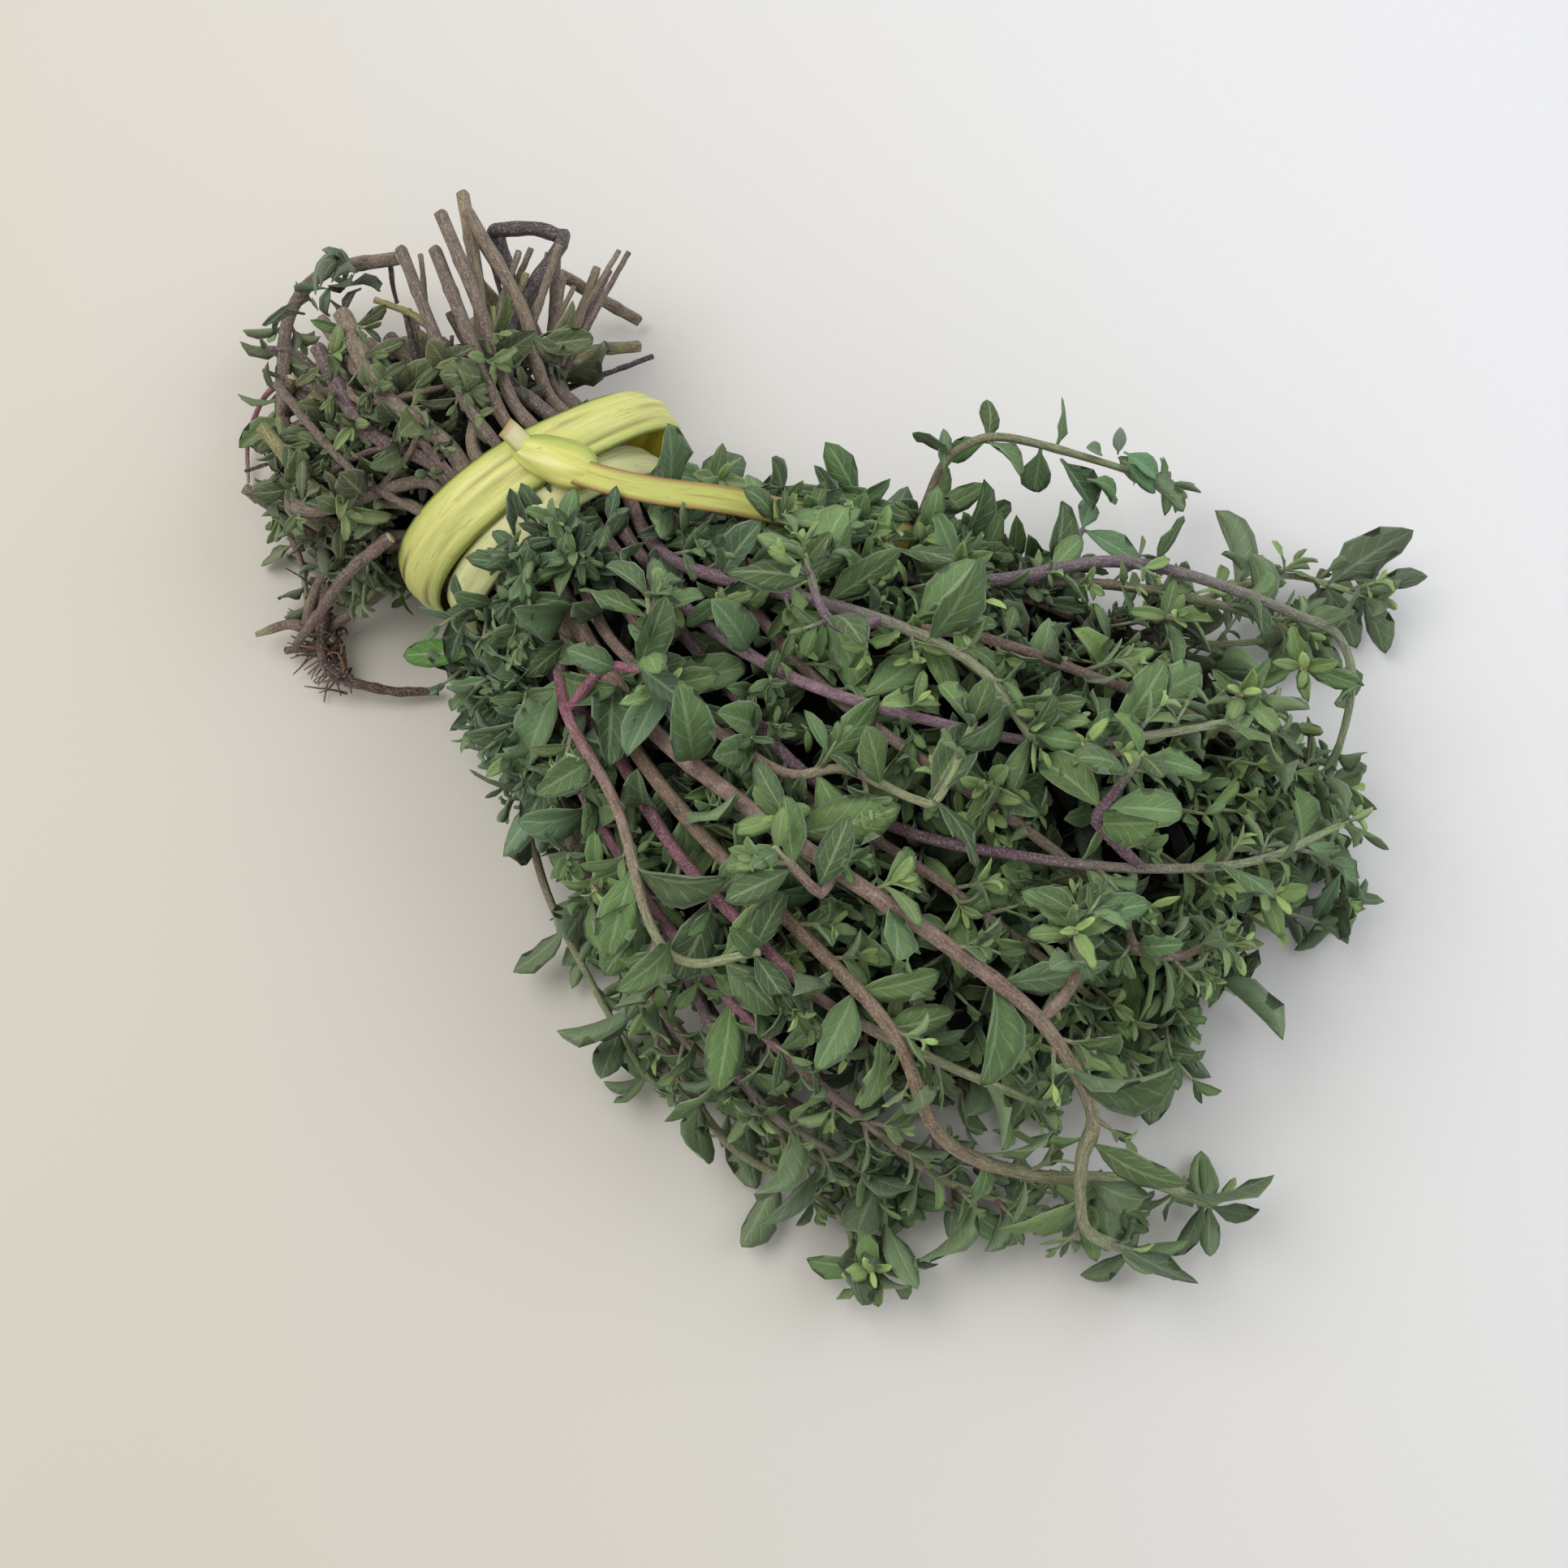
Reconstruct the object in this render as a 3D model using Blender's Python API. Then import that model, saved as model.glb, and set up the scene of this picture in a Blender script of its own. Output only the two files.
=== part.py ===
"""A bundle of freshly cut marjoram, lying on its side and tied near the cut ends with a strip of green leaf.

Every sprig is one solid: a square stem that runs from its cut end through the tie to its tip, with its
leaves and side shoots grown out of it. The heart of the bundle is one solid too, a core that stands for the
crowded stems inside, with leaves standing out of it. Lengths are in millimetres and the frame is +X towards
the tips, +Z up, with the origin under the middle of the bundle, on the surface that it lies on.
"""

import math

import bmesh
import bpy
import numpy as np
from mathutils.bvhtree import BVHTree

MM = 0.001
SEED = 23
# Plan centre of the finished bundle, in the drawing frame used below
MIDDLE = np.array([-16.89, 30.51, 0.0])

# The core: x, centre y, centre z, half width, half height
CORE = np.array([
    (-127, 5, 17, 11, 6.5), (-117, 1, 19.5, 21, 12), (-104, 1, 22.5, 24, 15.5), (-92, 4.5, 25, 19.5, 16.5),
    (-75, 6, 25.5, 18.2, 16.5), (-58, 6, 25, 18.4, 16.8), (-46, 7, 24.5, 21, 18.5), (-30, 9, 23.5, 30, 22),
    (-12, 11, 22, 38, 22.5), (12, 14, 22.5, 45, 23), (36, 20, 21, 48, 20.5), (58, 26, 17, 42, 16),
    (72, 30, 12.5, 27, 10.5), (81, 31, 9.5, 10, 6),
], float)
CORE_FLAT = (-30, -12, 12, 36)
CORE_SIDES = 16
CORE_LUMP = 0.07

# The neck, where the tie holds the stems
NECK_CENTRE = (6.0, 25.5)
NECK_STEMS = (21.3, 19.4)
TIE_ZONE = (-92.0, -48.0)
LEAFLESS = (-93.0, -54.0)
FLOOR_GAP = 0.4
STEM_GAP = 0.55
LEAF_GAP = 0.35

# Stems seen from above: name, diameter, points from the tie to the tip, and the length of the largest leaves
HEAD_STEMS = [
    ("crimson_sprig", 3.2, [(-53, -17, 42), (-39, -19, 48), (-28, -23, 52), (-15, -28, 53),
                            (-4, -35, 51), (8, -40, 50), (17, -38, 52), (23, -30, 57)], 17),
    ("thick_sprig", 3.9, [(-31, -12, 49), (-1, -13, 56), (23, -11, 62), (37, -9, 62), (50, -6, 59),
                          (60, -4, 56), (73, -5, 50), (84, -8, 42), (88, -16, 35), (97, -21, 24),
                          (108, -16, 9)], 19),
    ("brown_sprig", 3.3, [(-10, -20, 50), (24, -22, 52), (47, -24, 54), (59, -28, 50), (69, -30, 45),
                          (79, -27, 39), (88, -20, 33), (101, -7, 24), (113, 1, 9)], 17),
    ("wine_sprig", 2.9, [(-29, -19, 44), (2, -27, 50), (31, -28, 54), (41, -26, 53), (52, -23, 50),
                         (64, -18, 46), (76, -13, 41)], 16),
    ("violet_sprig", 3.0, [(-40, 12, 50), (-21, 21, 55), (-4, 28, 60), (6, 32, 62), (15, 33, 63),
                           (22, 31, 63), (32, 30, 62)], 17),
    ("hooked_sprig", 2.8, [(-40, -7, 49), (-12, -6, 54), (3, -4, 57), (11, 3, 61), (20, 5, 64),
                           (27, 9, 65), (27, 16, 66), (23, 24, 68)], 16),
    ("dusky_sprig", 2.8, [(7, -1, 53), (30, 7, 54), (43, 15, 55), (53, 23, 56), (62, 30, 53),
                          (73, 44, 46), (80, 56, 42), (82, 66, 38)], 16),
    ("mauve_sprig", 2.8, [(-20, 7, 54), (3, 15, 58), (21, 23, 60), (36, 34, 60), (43, 42, 58),
                          (51, 57, 51), (57, 68, 44)], 17),
    ("bare_sprig", 2.9, [(-35, 29, 40), (-5, 46, 40), (6, 62, 37), (18, 78, 35), (26, 83, 34),
                         (36, 88, 33), (47, 93, 31), (55, 97, 29), (64, 94, 26), (71, 83, 21),
                         (77, 73, 14)], 11),
    ("arching_sprig", 2.2, [(-29, 33, 34), (-16, 46, 26), (-17, 56, 29), (-20, 64, 40), (-19, 69, 45),
                            (-16, 75, 45), (-8, 82, 41), (-1, 89, 34), (5, 98, 26), (11, 102, 19)], 12),
    ("far_sprig", 2.4, [(-20, 34, 38), (0, 50, 34), (19, 62, 30), (26, 74, 26), (32, 89, 18),
                        (37, 101, 15), (43, 109, 13), (55, 117, 8)], 19),
    ("trailing_sprig", 2.5, [(-26, -32, 30), (1, -45, 22), (25, -53, 13), (36, -55, 9), (48, -53, 6),
                             (58, -50, 6), (67, -49, 7), (76, -52, 7)], 16),
    ("lilac_sprig", 2.6, [(-12, -30, 38), (29, -45, 30), (45, -46, 20), (56, -43, 16), (63, -40, 13),
                          (66, -43, 10), (74, -49, 7)], 17),
    ("pink_sprig", 2.4, [(-5, -34, 40), (30, -38, 40), (52, -36, 30), (66, -33, 19), (76, -31, 12),
                         (86, -25, 9)], 17),
    ("edge_sprig", 2.4, [(-48, -26, 13), (-36, -36, 13), (-20, -46, 10), (-8, -50, 10), (5, -53, 8),
                         (18, -57, 5)], 14),
    ("front_sprig", 2.8, [(-8, 14, 54), (30, 16, 60), (58, 22, 48), (74, 27, 33), (84, 32, 19),
                          (89, 35, 9)], 17),
    ("ridge_sprig", 2.7, [(-22, 22, 48), (12, 40, 56), (38, 54, 48), (58, 67, 34), (69, 75, 20),
                          (75, 80, 9)], 17),
    ("upper_side_sprig", 2.6, [(-30, 32, 34), (-4, 54, 36), (20, 74, 32), (38, 89, 24),
                               (50, 99, 12)], 16),
    ("lower_side_sprig", 2.5, [(-32, 34, 20), (-8, 52, 16), (20, 72, 12), (40, 88, 8), (52, 104, 5)], 16),
    ("floor_sprig_far", 2.4, [(-30, 28, 8), (0, 46, 5), (34, 62, 4), (60, 70, 4), (82, 68, 4)], 15),
    ("tip_sprig", 2.5, [(-14, -4, 50), (36, 2, 52), (62, 8, 38), (75, 12, 22), (83, 16, 10),
                        (87, 22, 5)], 16),
    ("left_flank_sprig", 2.5, [(-34, -30, 34), (-4, -43, 34), (26, -48, 26), (48, -46, 19),
                               (64, -43, 11)], 16),
    ("floor_sprig_near", 2.4, [(-36, -26, 8), (-4, -42, 5), (26, -50, 4), (50, -45, 3),
                               (68, -38, 4)], 15),
    ("front_floor_sprig", 2.4, [(-20, -24, 14), (30, -42, 12), (64, -31, 9), (86, -18, 7),
                                (101, -11, 5)], 15),
    ("far_corner_sprig", 2.4, [(-24, 38, 26), (8, 62, 22), (38, 78, 18), (62, 80, 13), (82, 72, 8),
                               (92, 62, 5)], 16),

]

# Along a leaf: share of its length, half width as a share of its width, and half thickness at the rib
BLADE = [(0.44, 0.5, 0.65), (0.78, 0.35, 0.5)]
SMALL_BLADE = [(0.5, 0.5, 0.6)]
SMALL_LENGTH = 12.5
ROOT_DEPTH = 0.3
FREE_ROOT = 0.3  # the share of a leaf next to its stem that may meet its neighbours' roots

# Cut ends that bend their own way, from the tie outwards; every other stem's cut end follows a rule
BUTTS = {
    "crimson_sprig": [(-93, -14, 38), (-108, -20, 30), (-126, -14, 20), (-141, -5, 15), (-149, 4, 14),
                      (-149, 14, 18), (-144, 21, 22), (-137, 27, 24)],
    "edge_sprig": [(-93, -16, 20), (-100, -22, 16), (-102, -29, 13), (-100, -36, 9), (-94, -41, 6),
                   (-87, -42, 5), (-79, -36, 4), (-71, -30, 3)],
    "hooked_sprig": [(-101, 21, 43), (-117, 33, 40), (-131, 43, 36)],
    "violet_sprig": [(-92, 18, 42), (-103, 31, 36), (-111, 50, 34), (-122, 41, 35), (-113, 37, 30)],
    "bare_sprig": [(-90, 27, 30), (-101, 36, 24), (-111, 48, 20), (-107, 52, 14), (-103, 54, 8),
                   (-100, 58, 3)],
    "upper_side_sprig": [(-93, 30, 21), (-98, 40, 15), (-93, 52, 9)],

}

# Sprigs whose cut ends have lost their leaves
BARE_BUTTS = ("hooked_sprig", "violet_sprig", "bare_sprig", "upper_side_sprig")

# Side shoots: name of the sprig they grow from, diameter, and points from the fork to the tip
SHOOTS = [
    ("thick_sprig", 2.2, [(24, -16, 64), (19, -17, 68), (14, -17, 71)], 13),
    ("thick_sprig", 2.2, [(66, 4, 55), (62, 10, 57), (57, 14, 59)], 13),
    ("violet_sprig", 2.2, [(-6, 21, 65), (-13, 21, 69), (-19, 25, 71)], 14),
    ("dusky_sprig", 2.2, [(50, 27, 62), (49, 33, 64), (48, 41, 66)], 15),
    ("crimson_sprig", 2.0, [(-33, -12, 58), (-27, -8, 62), (-30, -2, 64), (-36, 2, 64)], 13),
    ("front_sprig", 2.0, [(70, 18, 50), (77, 24, 46), (79, 32, 42)], 12),
    ("crimson_sprig", 1.7, [(-134, -14, 11), (-122, -25, 7), (-110, -31, 5), (-102, -37, 4)], 12),
    ("crimson_sprig", 1.3, [(-141, -12, 10), (-139, -20, 4), (-133, -26, 2)], 0),
    ("edge_sprig", 2.4, [(-101, -42, 8), (-105, -48, 6)], 0),
]

# The tie: a blade of green leaf, wound twice and knotted on top
BLADE_THICKNESS = 0.9
PALE_TURN = {"radii": (24.4, 23.4), "x": -66.5, "lean": 0.15, "bulge": 0.0}
PALE_TURN_WIDTH = 8.0
WIDE_TURN = {"radii": (26.0, 24.5), "x": -75.5, "lean": 0.2, "bulge": 0.2}
WIDE_TURN_WIDTH = 10.5
KNOT_CENTRE = (-70.5, 11.0, 52.6)
KNOT_ALONG = (0.93, 0.37, 0.02)
KNOT_HALF = (9.0, 5.3, 3.8)
CUT_END = [(-76, 9, 53.5), (-80, 8.5, 56), (-83, 7.5, 58.5)]
CUT_END_WIDTH = 4.2
TAIL = [(-68, 11, 54), (-60, 14, 55.5), (-51, 19, 56.5), (-41, 26, 57), (-32, 33, 54), (-23, 42, 47),
        (-14, 52, 37), (-4, 61, 27), (8, 68, 18)]
TAIL_WIDTH = 5.0
TAIL_THICKNESS = 1.5

COLOURS = {
    "leaf": (0.115, 0.195, 0.085), "heart": (0.060, 0.110, 0.050),
    "tie": (0.560, 0.560, 0.160),
}


def unit(v):
    """Vectors scaled to length one, along the last axis."""
    v = np.asarray(v, float)
    return v / np.maximum(np.linalg.norm(v, axis=-1, keepdims=True), 1e-9)


def smooth_curve(points, step=1.0):
    """A Catmull-Rom curve through the points, sampled about every step."""
    p = np.asarray(points, float)
    p = np.vstack([2 * p[0] - p[1], p, 2 * p[-1] - p[-2]])
    out = []
    for a, b, c, d in zip(p[:-3], p[1:-2], p[2:-1], p[3:]):
        t = np.linspace(0, 1, max(2, int(np.linalg.norm(c - b) / step) + 1), endpoint=False)[:, None]
        out.append(0.5 * (2 * b + (c - a) * t + (2 * a - 5 * b + 4 * c - d) * t**2
                          + (3 * b - a - 3 * c + d) * t**3))
    return np.vstack([*out, p[-2][None]])


def joints_of(curve, longest=24.0, turn=0.85):
    """The curve's points at its nodes: one for every longest mm, and more where it turns and in the tie."""
    steps = np.diff(curve, axis=0)
    lengths = np.linalg.norm(steps, axis=1)
    heading = unit(steps)
    bend = np.arccos(np.clip((heading[1:] * heading[:-1]).sum(1), -1, 1))
    in_tie = (curve[:-1, 0] > TIE_ZONE[0] - 4) & (curve[:-1, 0] < TIE_ZONE[1] + 4)
    measure = np.maximum(lengths / np.where(in_tie, 13.0, longest), np.append(bend, 0) / turn)
    total = np.append(0, np.cumsum(measure))
    count = max(3, int(math.ceil(total[-1])) + 1)
    at = np.interp(np.linspace(0, total[-1], count), total, np.arange(len(curve)))
    return np.stack([np.interp(at, np.arange(len(curve)), curve[:, k]) for k in range(3)], axis=1)


def core_at(x):
    """Centre y, centre z, half width and half height of the core at x."""
    return [np.interp(x, CORE[:, 0], CORE[:, k]) for k in (1, 2, 3, 4)]


def neck_angles(first_points):
    """A place round the neck for each stem, in the order of the places where the stems spread out."""
    p = np.array(first_points)
    angle = np.arctan2((p[:, 2] - NECK_CENTRE[1]) * 1.25, p[:, 1] - NECK_CENTRE[0])
    angle = np.where(angle < -math.pi / 2, angle + 2 * math.pi, angle)
    places = np.radians(np.linspace(-62, 242, len(p)))
    out = np.empty(len(p))
    out[np.argsort(angle, kind="stable")] = places
    return out


def neck_point(angle, x, spread=1.0, shift=(0.0, 0.0)):
    y = NECK_CENTRE[0] + shift[0] + NECK_STEMS[0] * spread * math.cos(angle)
    return (x, y, NECK_CENTRE[1] + shift[1] + NECK_STEMS[1] * spread * math.sin(angle))


def cut_end(name, angle, rng):
    """The stretch of a stem behind the tie, from the tie outwards."""
    if name in BUTTS:
        return BUTTS[name]
    upper = max(0.0, math.sin(angle))
    near = max(0.0, -math.cos(angle))
    reach = -114 - 9 * upper - 9 * rng.random()
    drift = 4 + 12 * upper + 5 * rng.random() - 22 * near
    middle = neck_point(angle, -102, 1.2, (2 + 4 * upper - 6 * near, -1.0))
    end = neck_point(angle, reach, 0.8 + 0.4 * rng.random(), (drift, -2 + 5 * rng.random()))
    return [middle, (end[0], end[1], max(end[2], 4.0))]


def stem_paths():
    """Each stem's nodes before settling: (sprig, diameter, points, leaf length, is a side shoot)."""
    rng = np.random.default_rng(SEED)
    places = neck_angles([points[1] if points[0][0] < -40 else points[0] for _, _, points, _ in HEAD_STEMS])
    stems = []
    for (name, diameter, points, leaf), angle in zip(HEAD_STEMS, places):
        behind = cut_end(name, angle, rng)
        through = [neck_point(angle, -84), neck_point(angle, -75), neck_point(angle, -64)]
        curve = smooth_curve([*behind[::-1], *through, *points])
        stems.append((name, diameter, joints_of(curve), leaf, False))
    for name, diameter, points, leaf in SHOOTS:
        parent = next(s for s in stems if s[0] == name)[2]
        fork = parent[np.argmin(np.linalg.norm(parent - np.array(points[0]), axis=1))]
        stems.append((name, diameter, joints_of(smooth_curve([fork, *points]), 12.0), leaf, True))
    return stems


def nearest_on_segments(p1, q1, p2, q2):
    """How far along each of two sets of segments the closest pair of points lies, from 0 to 1."""
    d1, d2, r = q1 - p1, q2 - p2, p1 - p2
    a, e = (d1 * d1).sum(1), (d2 * d2).sum(1)
    b, c, f = (d1 * d2).sum(1), (d1 * r).sum(1), (d2 * r).sum(1)
    across = a * e - b * b
    s = np.where(across > 1e-9, np.clip((b * f - c * e) / np.maximum(across, 1e-9), 0, 1), 0.5)
    t = np.clip((b * s + f) / e, 0, 1)
    return np.clip((b * t - c) / a, 0, 1), t


def settle(stems, fixed, rounds=160):
    """Eases the stems apart, off the core, off the floor and inside the tie, until none touches another."""
    points = np.vstack([s[2] for s in stems] + [f[1] for f in fixed])
    sizes = [len(s[2]) for s in stems] + [len(f[1]) for f in fixed]
    names = [s[0] for s in stems] + [f"fixed {i}" for i in range(len(fixed))]
    radii = [s[1] / 2 for s in stems] + [f[0] for f in fixed]
    starts = np.append(0, np.cumsum(sizes))
    movable = np.arange(len(points)) < starts[len(stems)]
    radius = np.repeat(radii, sizes)
    forks = np.array([starts[i] for i, s in enumerate(stems) if s[4]])
    first = np.concatenate([np.arange(starts[i], starts[i + 1] - 1) for i in range(len(sizes))])
    owner = np.concatenate([[names.index(names[i])] * (sizes[i] - 1) for i in range(len(sizes))])
    seg_radius = radius[first]
    i, j = np.triu_indices(len(first), 1)
    keep = (owner[i] != owner[j]) & (movable[first[i]] | movable[first[j]])
    i, j = i[keep], j[keep]
    middle = (points[first] + points[first + 1]) / 2
    near = np.linalg.norm(middle[i] - middle[j], axis=1) < 45
    i, j = i[near], j[near]
    need = seg_radius[i] + seg_radius[j] + STEM_GAP
    for _ in range(rounds):
        a, b = first[i], first[j]
        s, t = nearest_on_segments(points[a], points[a + 1], points[b], points[b + 1])
        away = points[a] + (points[a + 1] - points[a]) * s[:, None] - points[b] - (
            points[b + 1] - points[b]) * t[:, None]
        gap = np.linalg.norm(away, axis=1)
        hit = gap < need
        away = np.where(gap[:, None] > 1e-3, away / np.maximum(gap, 1e-3)[:, None], (0.0, 0.0, 1.0))
        share = np.where(movable[a] & movable[b], 0.5, 1.0)
        push = away * ((need - gap) * share * 0.55)[:, None]
        move = np.zeros_like(points)
        weight = np.zeros(len(points))
        for at, frac, sign in ((a, 1 - s, 1), (a + 1, s, 1), (b, 1 - t, -1), (b + 1, t, -1)):
            amount = (frac * hit)[:, None] * push * sign * 1.5
            np.add.at(move, at, amount)
            np.add.at(weight, at, hit * (frac > 0.05))
        points += np.where(movable[:, None], move / np.maximum(weight, 1)[:, None], 0)
        keep_off_core(points, radius, movable, first)
        keep_in_tie(points, radius, movable)
        points[movable, 2] = np.maximum(points[movable, 2], radius[movable] + FLOOR_GAP)
    for k in forks:
        points[k] = fork_point(points, k, stems, starts, movable)
    return [(*s[:2], points[starts[n]:starts[n + 1]].copy(), *s[3:]) for n, s in enumerate(stems)]


def fork_point(points, k, stems, starts, movable):
    """The node of a side shoot's own stem that lies nearest its first free point."""
    which = int(np.searchsorted(starts, k, side="right")) - 1
    parent = next(n for n, s in enumerate(stems) if s[0] == stems[which][0])
    nodes = points[starts[parent]:starts[parent + 1]]
    return nodes[np.argmin(np.linalg.norm(nodes - points[k + 1], axis=1))]


def off_core(points, radius):
    """How far points must move so that a stem of this radius there is clear of the core."""
    cy, cz, hw, hh = core_at(points[:, 0])
    inside = (points[:, 0] > CORE[0, 0] - 2) & (points[:, 0] < CORE[-1, 0] + 2)
    off = radius + 1.2
    y, z = points[:, 1] - cy, points[:, 2] - cz
    reach = np.hypot(y / (hw * (1 + CORE_LUMP) + off), z / (hh * (1 + CORE_LUMP) + off))
    grow = np.where(inside & (reach < 1), 1 / np.maximum(reach, 0.05) - 1, 0.0)
    return np.stack([0 * y, y * grow, z * grow], axis=1)


def keep_off_core(points, radius, movable, first):
    points += np.where(movable[:, None], off_core(points, radius), 0)
    push = off_core((points[first] + points[first + 1]) / 2, radius[first])
    push = np.where(movable[first][:, None], push, 0)
    np.add.at(points, first, push)
    np.add.at(points, first + 1, push)


def keep_in_tie(points, radius, movable):
    zone = (points[:, 0] > TIE_ZONE[0]) & (points[:, 0] < TIE_ZONE[1]) & movable
    room = np.array(PALE_TURN["radii"]) - BLADE_THICKNESS / 2 - 0.55
    y = (points[:, 1] - NECK_CENTRE[0]) / (room[0] - radius)
    z = (points[:, 2] - NECK_CENTRE[1]) / (room[1] - radius)
    reach = np.hypot(y, z)
    shrink = np.where(zone & (reach > 1), 1 / np.maximum(reach, 1), 1.0)
    points[:, 1] = NECK_CENTRE[0] + (points[:, 1] - NECK_CENTRE[0]) * shrink
    points[:, 2] = NECK_CENTRE[1] + (points[:, 2] - NECK_CENTRE[1]) * shrink


def tangents(points):
    steps = unit(np.diff(points, axis=0))
    return unit(np.vstack([steps[:1], steps[1:] + steps[:-1], steps[-1:]]))


def square_stem(points, radius, tip=0.55):
    """A square stem along the points, thinner towards its tip, closed at both ends."""
    t = tangents(points)
    side = unit(np.cross(t[0], (0.3, 0.2, 1.0)))
    verts, faces = [], []
    for k, p in enumerate(points):
        side = unit(side - t[k] * (side @ t[k]))
        other = np.cross(t[k], side)
        taper = 1 - (1 - tip) * (k / (len(points) - 1)) ** 3
        corner = math.radians(45)
        for q in range(4):
            a = corner + q * math.pi / 2
            verts.append(p + (side * math.cos(a) + other * math.sin(a)) * radius * taper)
    for k in range(len(points) - 1):
        for q in range(4):
            a, b = 4 * k + q, 4 * k + (q + 1) % 4
            faces.append((a, b, b + 4, a + 4))
    last = 4 * (len(points) - 1)
    return np.array(verts), [*faces, (3, 2, 1, 0), (last, last + 1, last + 2, last + 3)]


def leaf_blade(leaf, grow=0.0, root_at=0.0):
    """A pointed oval blade, folded up along its midrib and arched down its length: a root sunk in the stem,
    sections of edge, rib, edge and underside, and a tip. To test for room, grow makes it larger all round
    and root_at leaves out that share of it next to the stem."""
    root, along, up = leaf["root"], leaf["along"], leaf["up"]
    length, width, arch, fold, wave = (leaf[k] for k in ("length", "width", "arch", "fold", "wave"))
    side = np.cross(up, along)
    at = root - along * ROOT_DEPTH
    verts, done = [at], 0.0
    for s, half, rib in SMALL_BLADE if length < SMALL_LENGTH else BLADE:
        bend = arch * (s + done) / 2
        at = at + (along * math.cos(bend) - up * math.sin(bend)) * (s - done) * (length + ROOT_DEPTH)
        done = s
        turned = up * math.cos(arch * s) + along * math.sin(arch * s)
        half = half * width + grow
        lift = turned * math.sin(fold) * half
        ripple = turned * wave * half * (1 if s < 0.6 else -1)
        out = side * math.cos(fold) * half
        verts += [at + out + lift + ripple, at + turned * (rib + grow), at - out + lift - ripple,
                  at - turned * (rib + grow)]
    verts[0] = root + along * root_at * length - along * ROOT_DEPTH
    rest = 1 - done
    verts.append(at + (along * math.cos(arch) - up * math.sin(arch)) * (rest * length + grow))
    faces = [(0, 1 + (n + 1) % 4, 1 + n) for n in range(4)]
    if len(verts) > 6:
        faces += [(1, 2, 6), (1, 6, 5), (2, 3, 6), (3, 7, 6), (3, 4, 8), (3, 8, 7), (4, 1, 8), (1, 5, 8)]
    end = len(verts) - 5
    return np.array(verts), faces + [(end + n, end + (n + 1) % 4, end + 4) for n in range(4)]


def pair_of_leaves(node, at, t, outward, length, rng):
    """Opposite leaves at a node. Pairs alternate: one to both sides, the next to the outside and inside, where
    the inner leaf is lost in the core."""
    across = unit(np.cross(t, outward))
    turns = (78, -78) if node % 2 == 0 else (rng.choice((-15, 15)),)
    leaves = []
    for turn in turns:
        angle = math.radians(turn + rng.uniform(-18, 18))
        lean = math.radians(rng.uniform(38, 66) if node % 2 == 0 else rng.uniform(60, 88))
        away = outward * math.cos(angle) + across * math.sin(angle)
        size = length * rng.uniform(0.85, 1.15)
        leaves.append({
            "root": at + rng.uniform(-0.2, 0.2, 3), "t": t, "away": away, "lean": lean, "length": size,
            "width": size * rng.uniform(0.42, 0.52), "arch": math.radians(rng.uniform(10, 62)),
            "fold": math.radians(rng.uniform(8, 34)), "wave": rng.uniform(-0.22, 0.22), "outward": outward,
            "show": rng.uniform(0.4, 2.6),
        })
    return leaves


def aimed(leaf, turn, lean, scale):
    """The leaf turned about its stem, leant and scaled, as it bends clear of its neighbours."""
    c, s = math.cos(turn), math.sin(turn)
    away = unit(leaf["away"] * c + np.cross(leaf["t"], leaf["away"]) * s)
    angle = leaf["lean"] + lean
    along = unit(leaf["t"] * math.cos(angle) + away * math.sin(angle))
    face = leaf["outward"] * leaf["show"] + leaf["t"]
    up = unit(face - along * (face @ along))
    length, width = leaf["length"] * scale, leaf["width"] * scale
    return {**leaf, "along": along, "up": up, "length": length, "width": width}


# The ways in which a leaf may bend: turn about its stem, lean (both in radians) and scale
WAYS = [
    (0, 0, 1), (0.45, 0, 1), (-0.45, 0, 1), (0, -0.4, 1), (0.9, 0, 0.95), (-0.9, 0, 0.95), (0, 0.45, 0.95),
    (0.6, -0.45, 0.88), (-0.6, -0.45, 0.88), (1.4, 0, 0.85), (-1.4, 0, 0.85), (0, -0.3, 0.7),
    (0.8, 0.2, 0.7), (-0.8, 0.2, 0.7),
]


class Crowd:
    """What is in place already, as search trees, so that a new leaf can be bent clear of it."""

    def __init__(self):
        self.solids = []
        self.own = []
        self.tree = None
        self.owners = []
        self.own_tree = None

    @staticmethod
    def merged(solids):
        verts, faces, owners, base = [], [], [], 0
        for owner, v, f in solids:
            verts.append(v)
            faces += [tuple(base + k for k in face) for face in f]
            owners += [owner] * len(f)
            base += len(v)
        return np.vstack(verts).tolist(), faces, owners

    def add(self, owner, verts, faces):
        self.solids.append((owner, verts, faces))

    def refresh(self):
        verts, faces, self.owners = self.merged(self.solids)
        self.tree = BVHTree.FromPolygons(verts, faces)

    def start_own(self):
        self.own, self.own_tree = [], None

    def add_own(self, leaf):
        self.own.append(("own", *leaf_blade(leaf, 0.0, FREE_ROOT)))
        verts, faces, _ = self.merged(self.own)
        self.own_tree = BVHTree.FromPolygons(verts, faces)

    def clear(self, owner, leaf):
        verts, faces = leaf_blade(leaf, LEAF_GAP)
        if verts[:, 2].min() < FLOOR_GAP:
            return False
        trial = BVHTree.FromPolygons(verts.tolist(), faces)
        if any(self.owners[b] != owner for _, b in trial.overlap(self.tree)):
            return False
        verts, faces = leaf_blade(leaf, 0.1, FREE_ROOT)
        return not (self.own_tree and BVHTree.FromPolygons(verts.tolist(), faces).overlap(self.own_tree))


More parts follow.
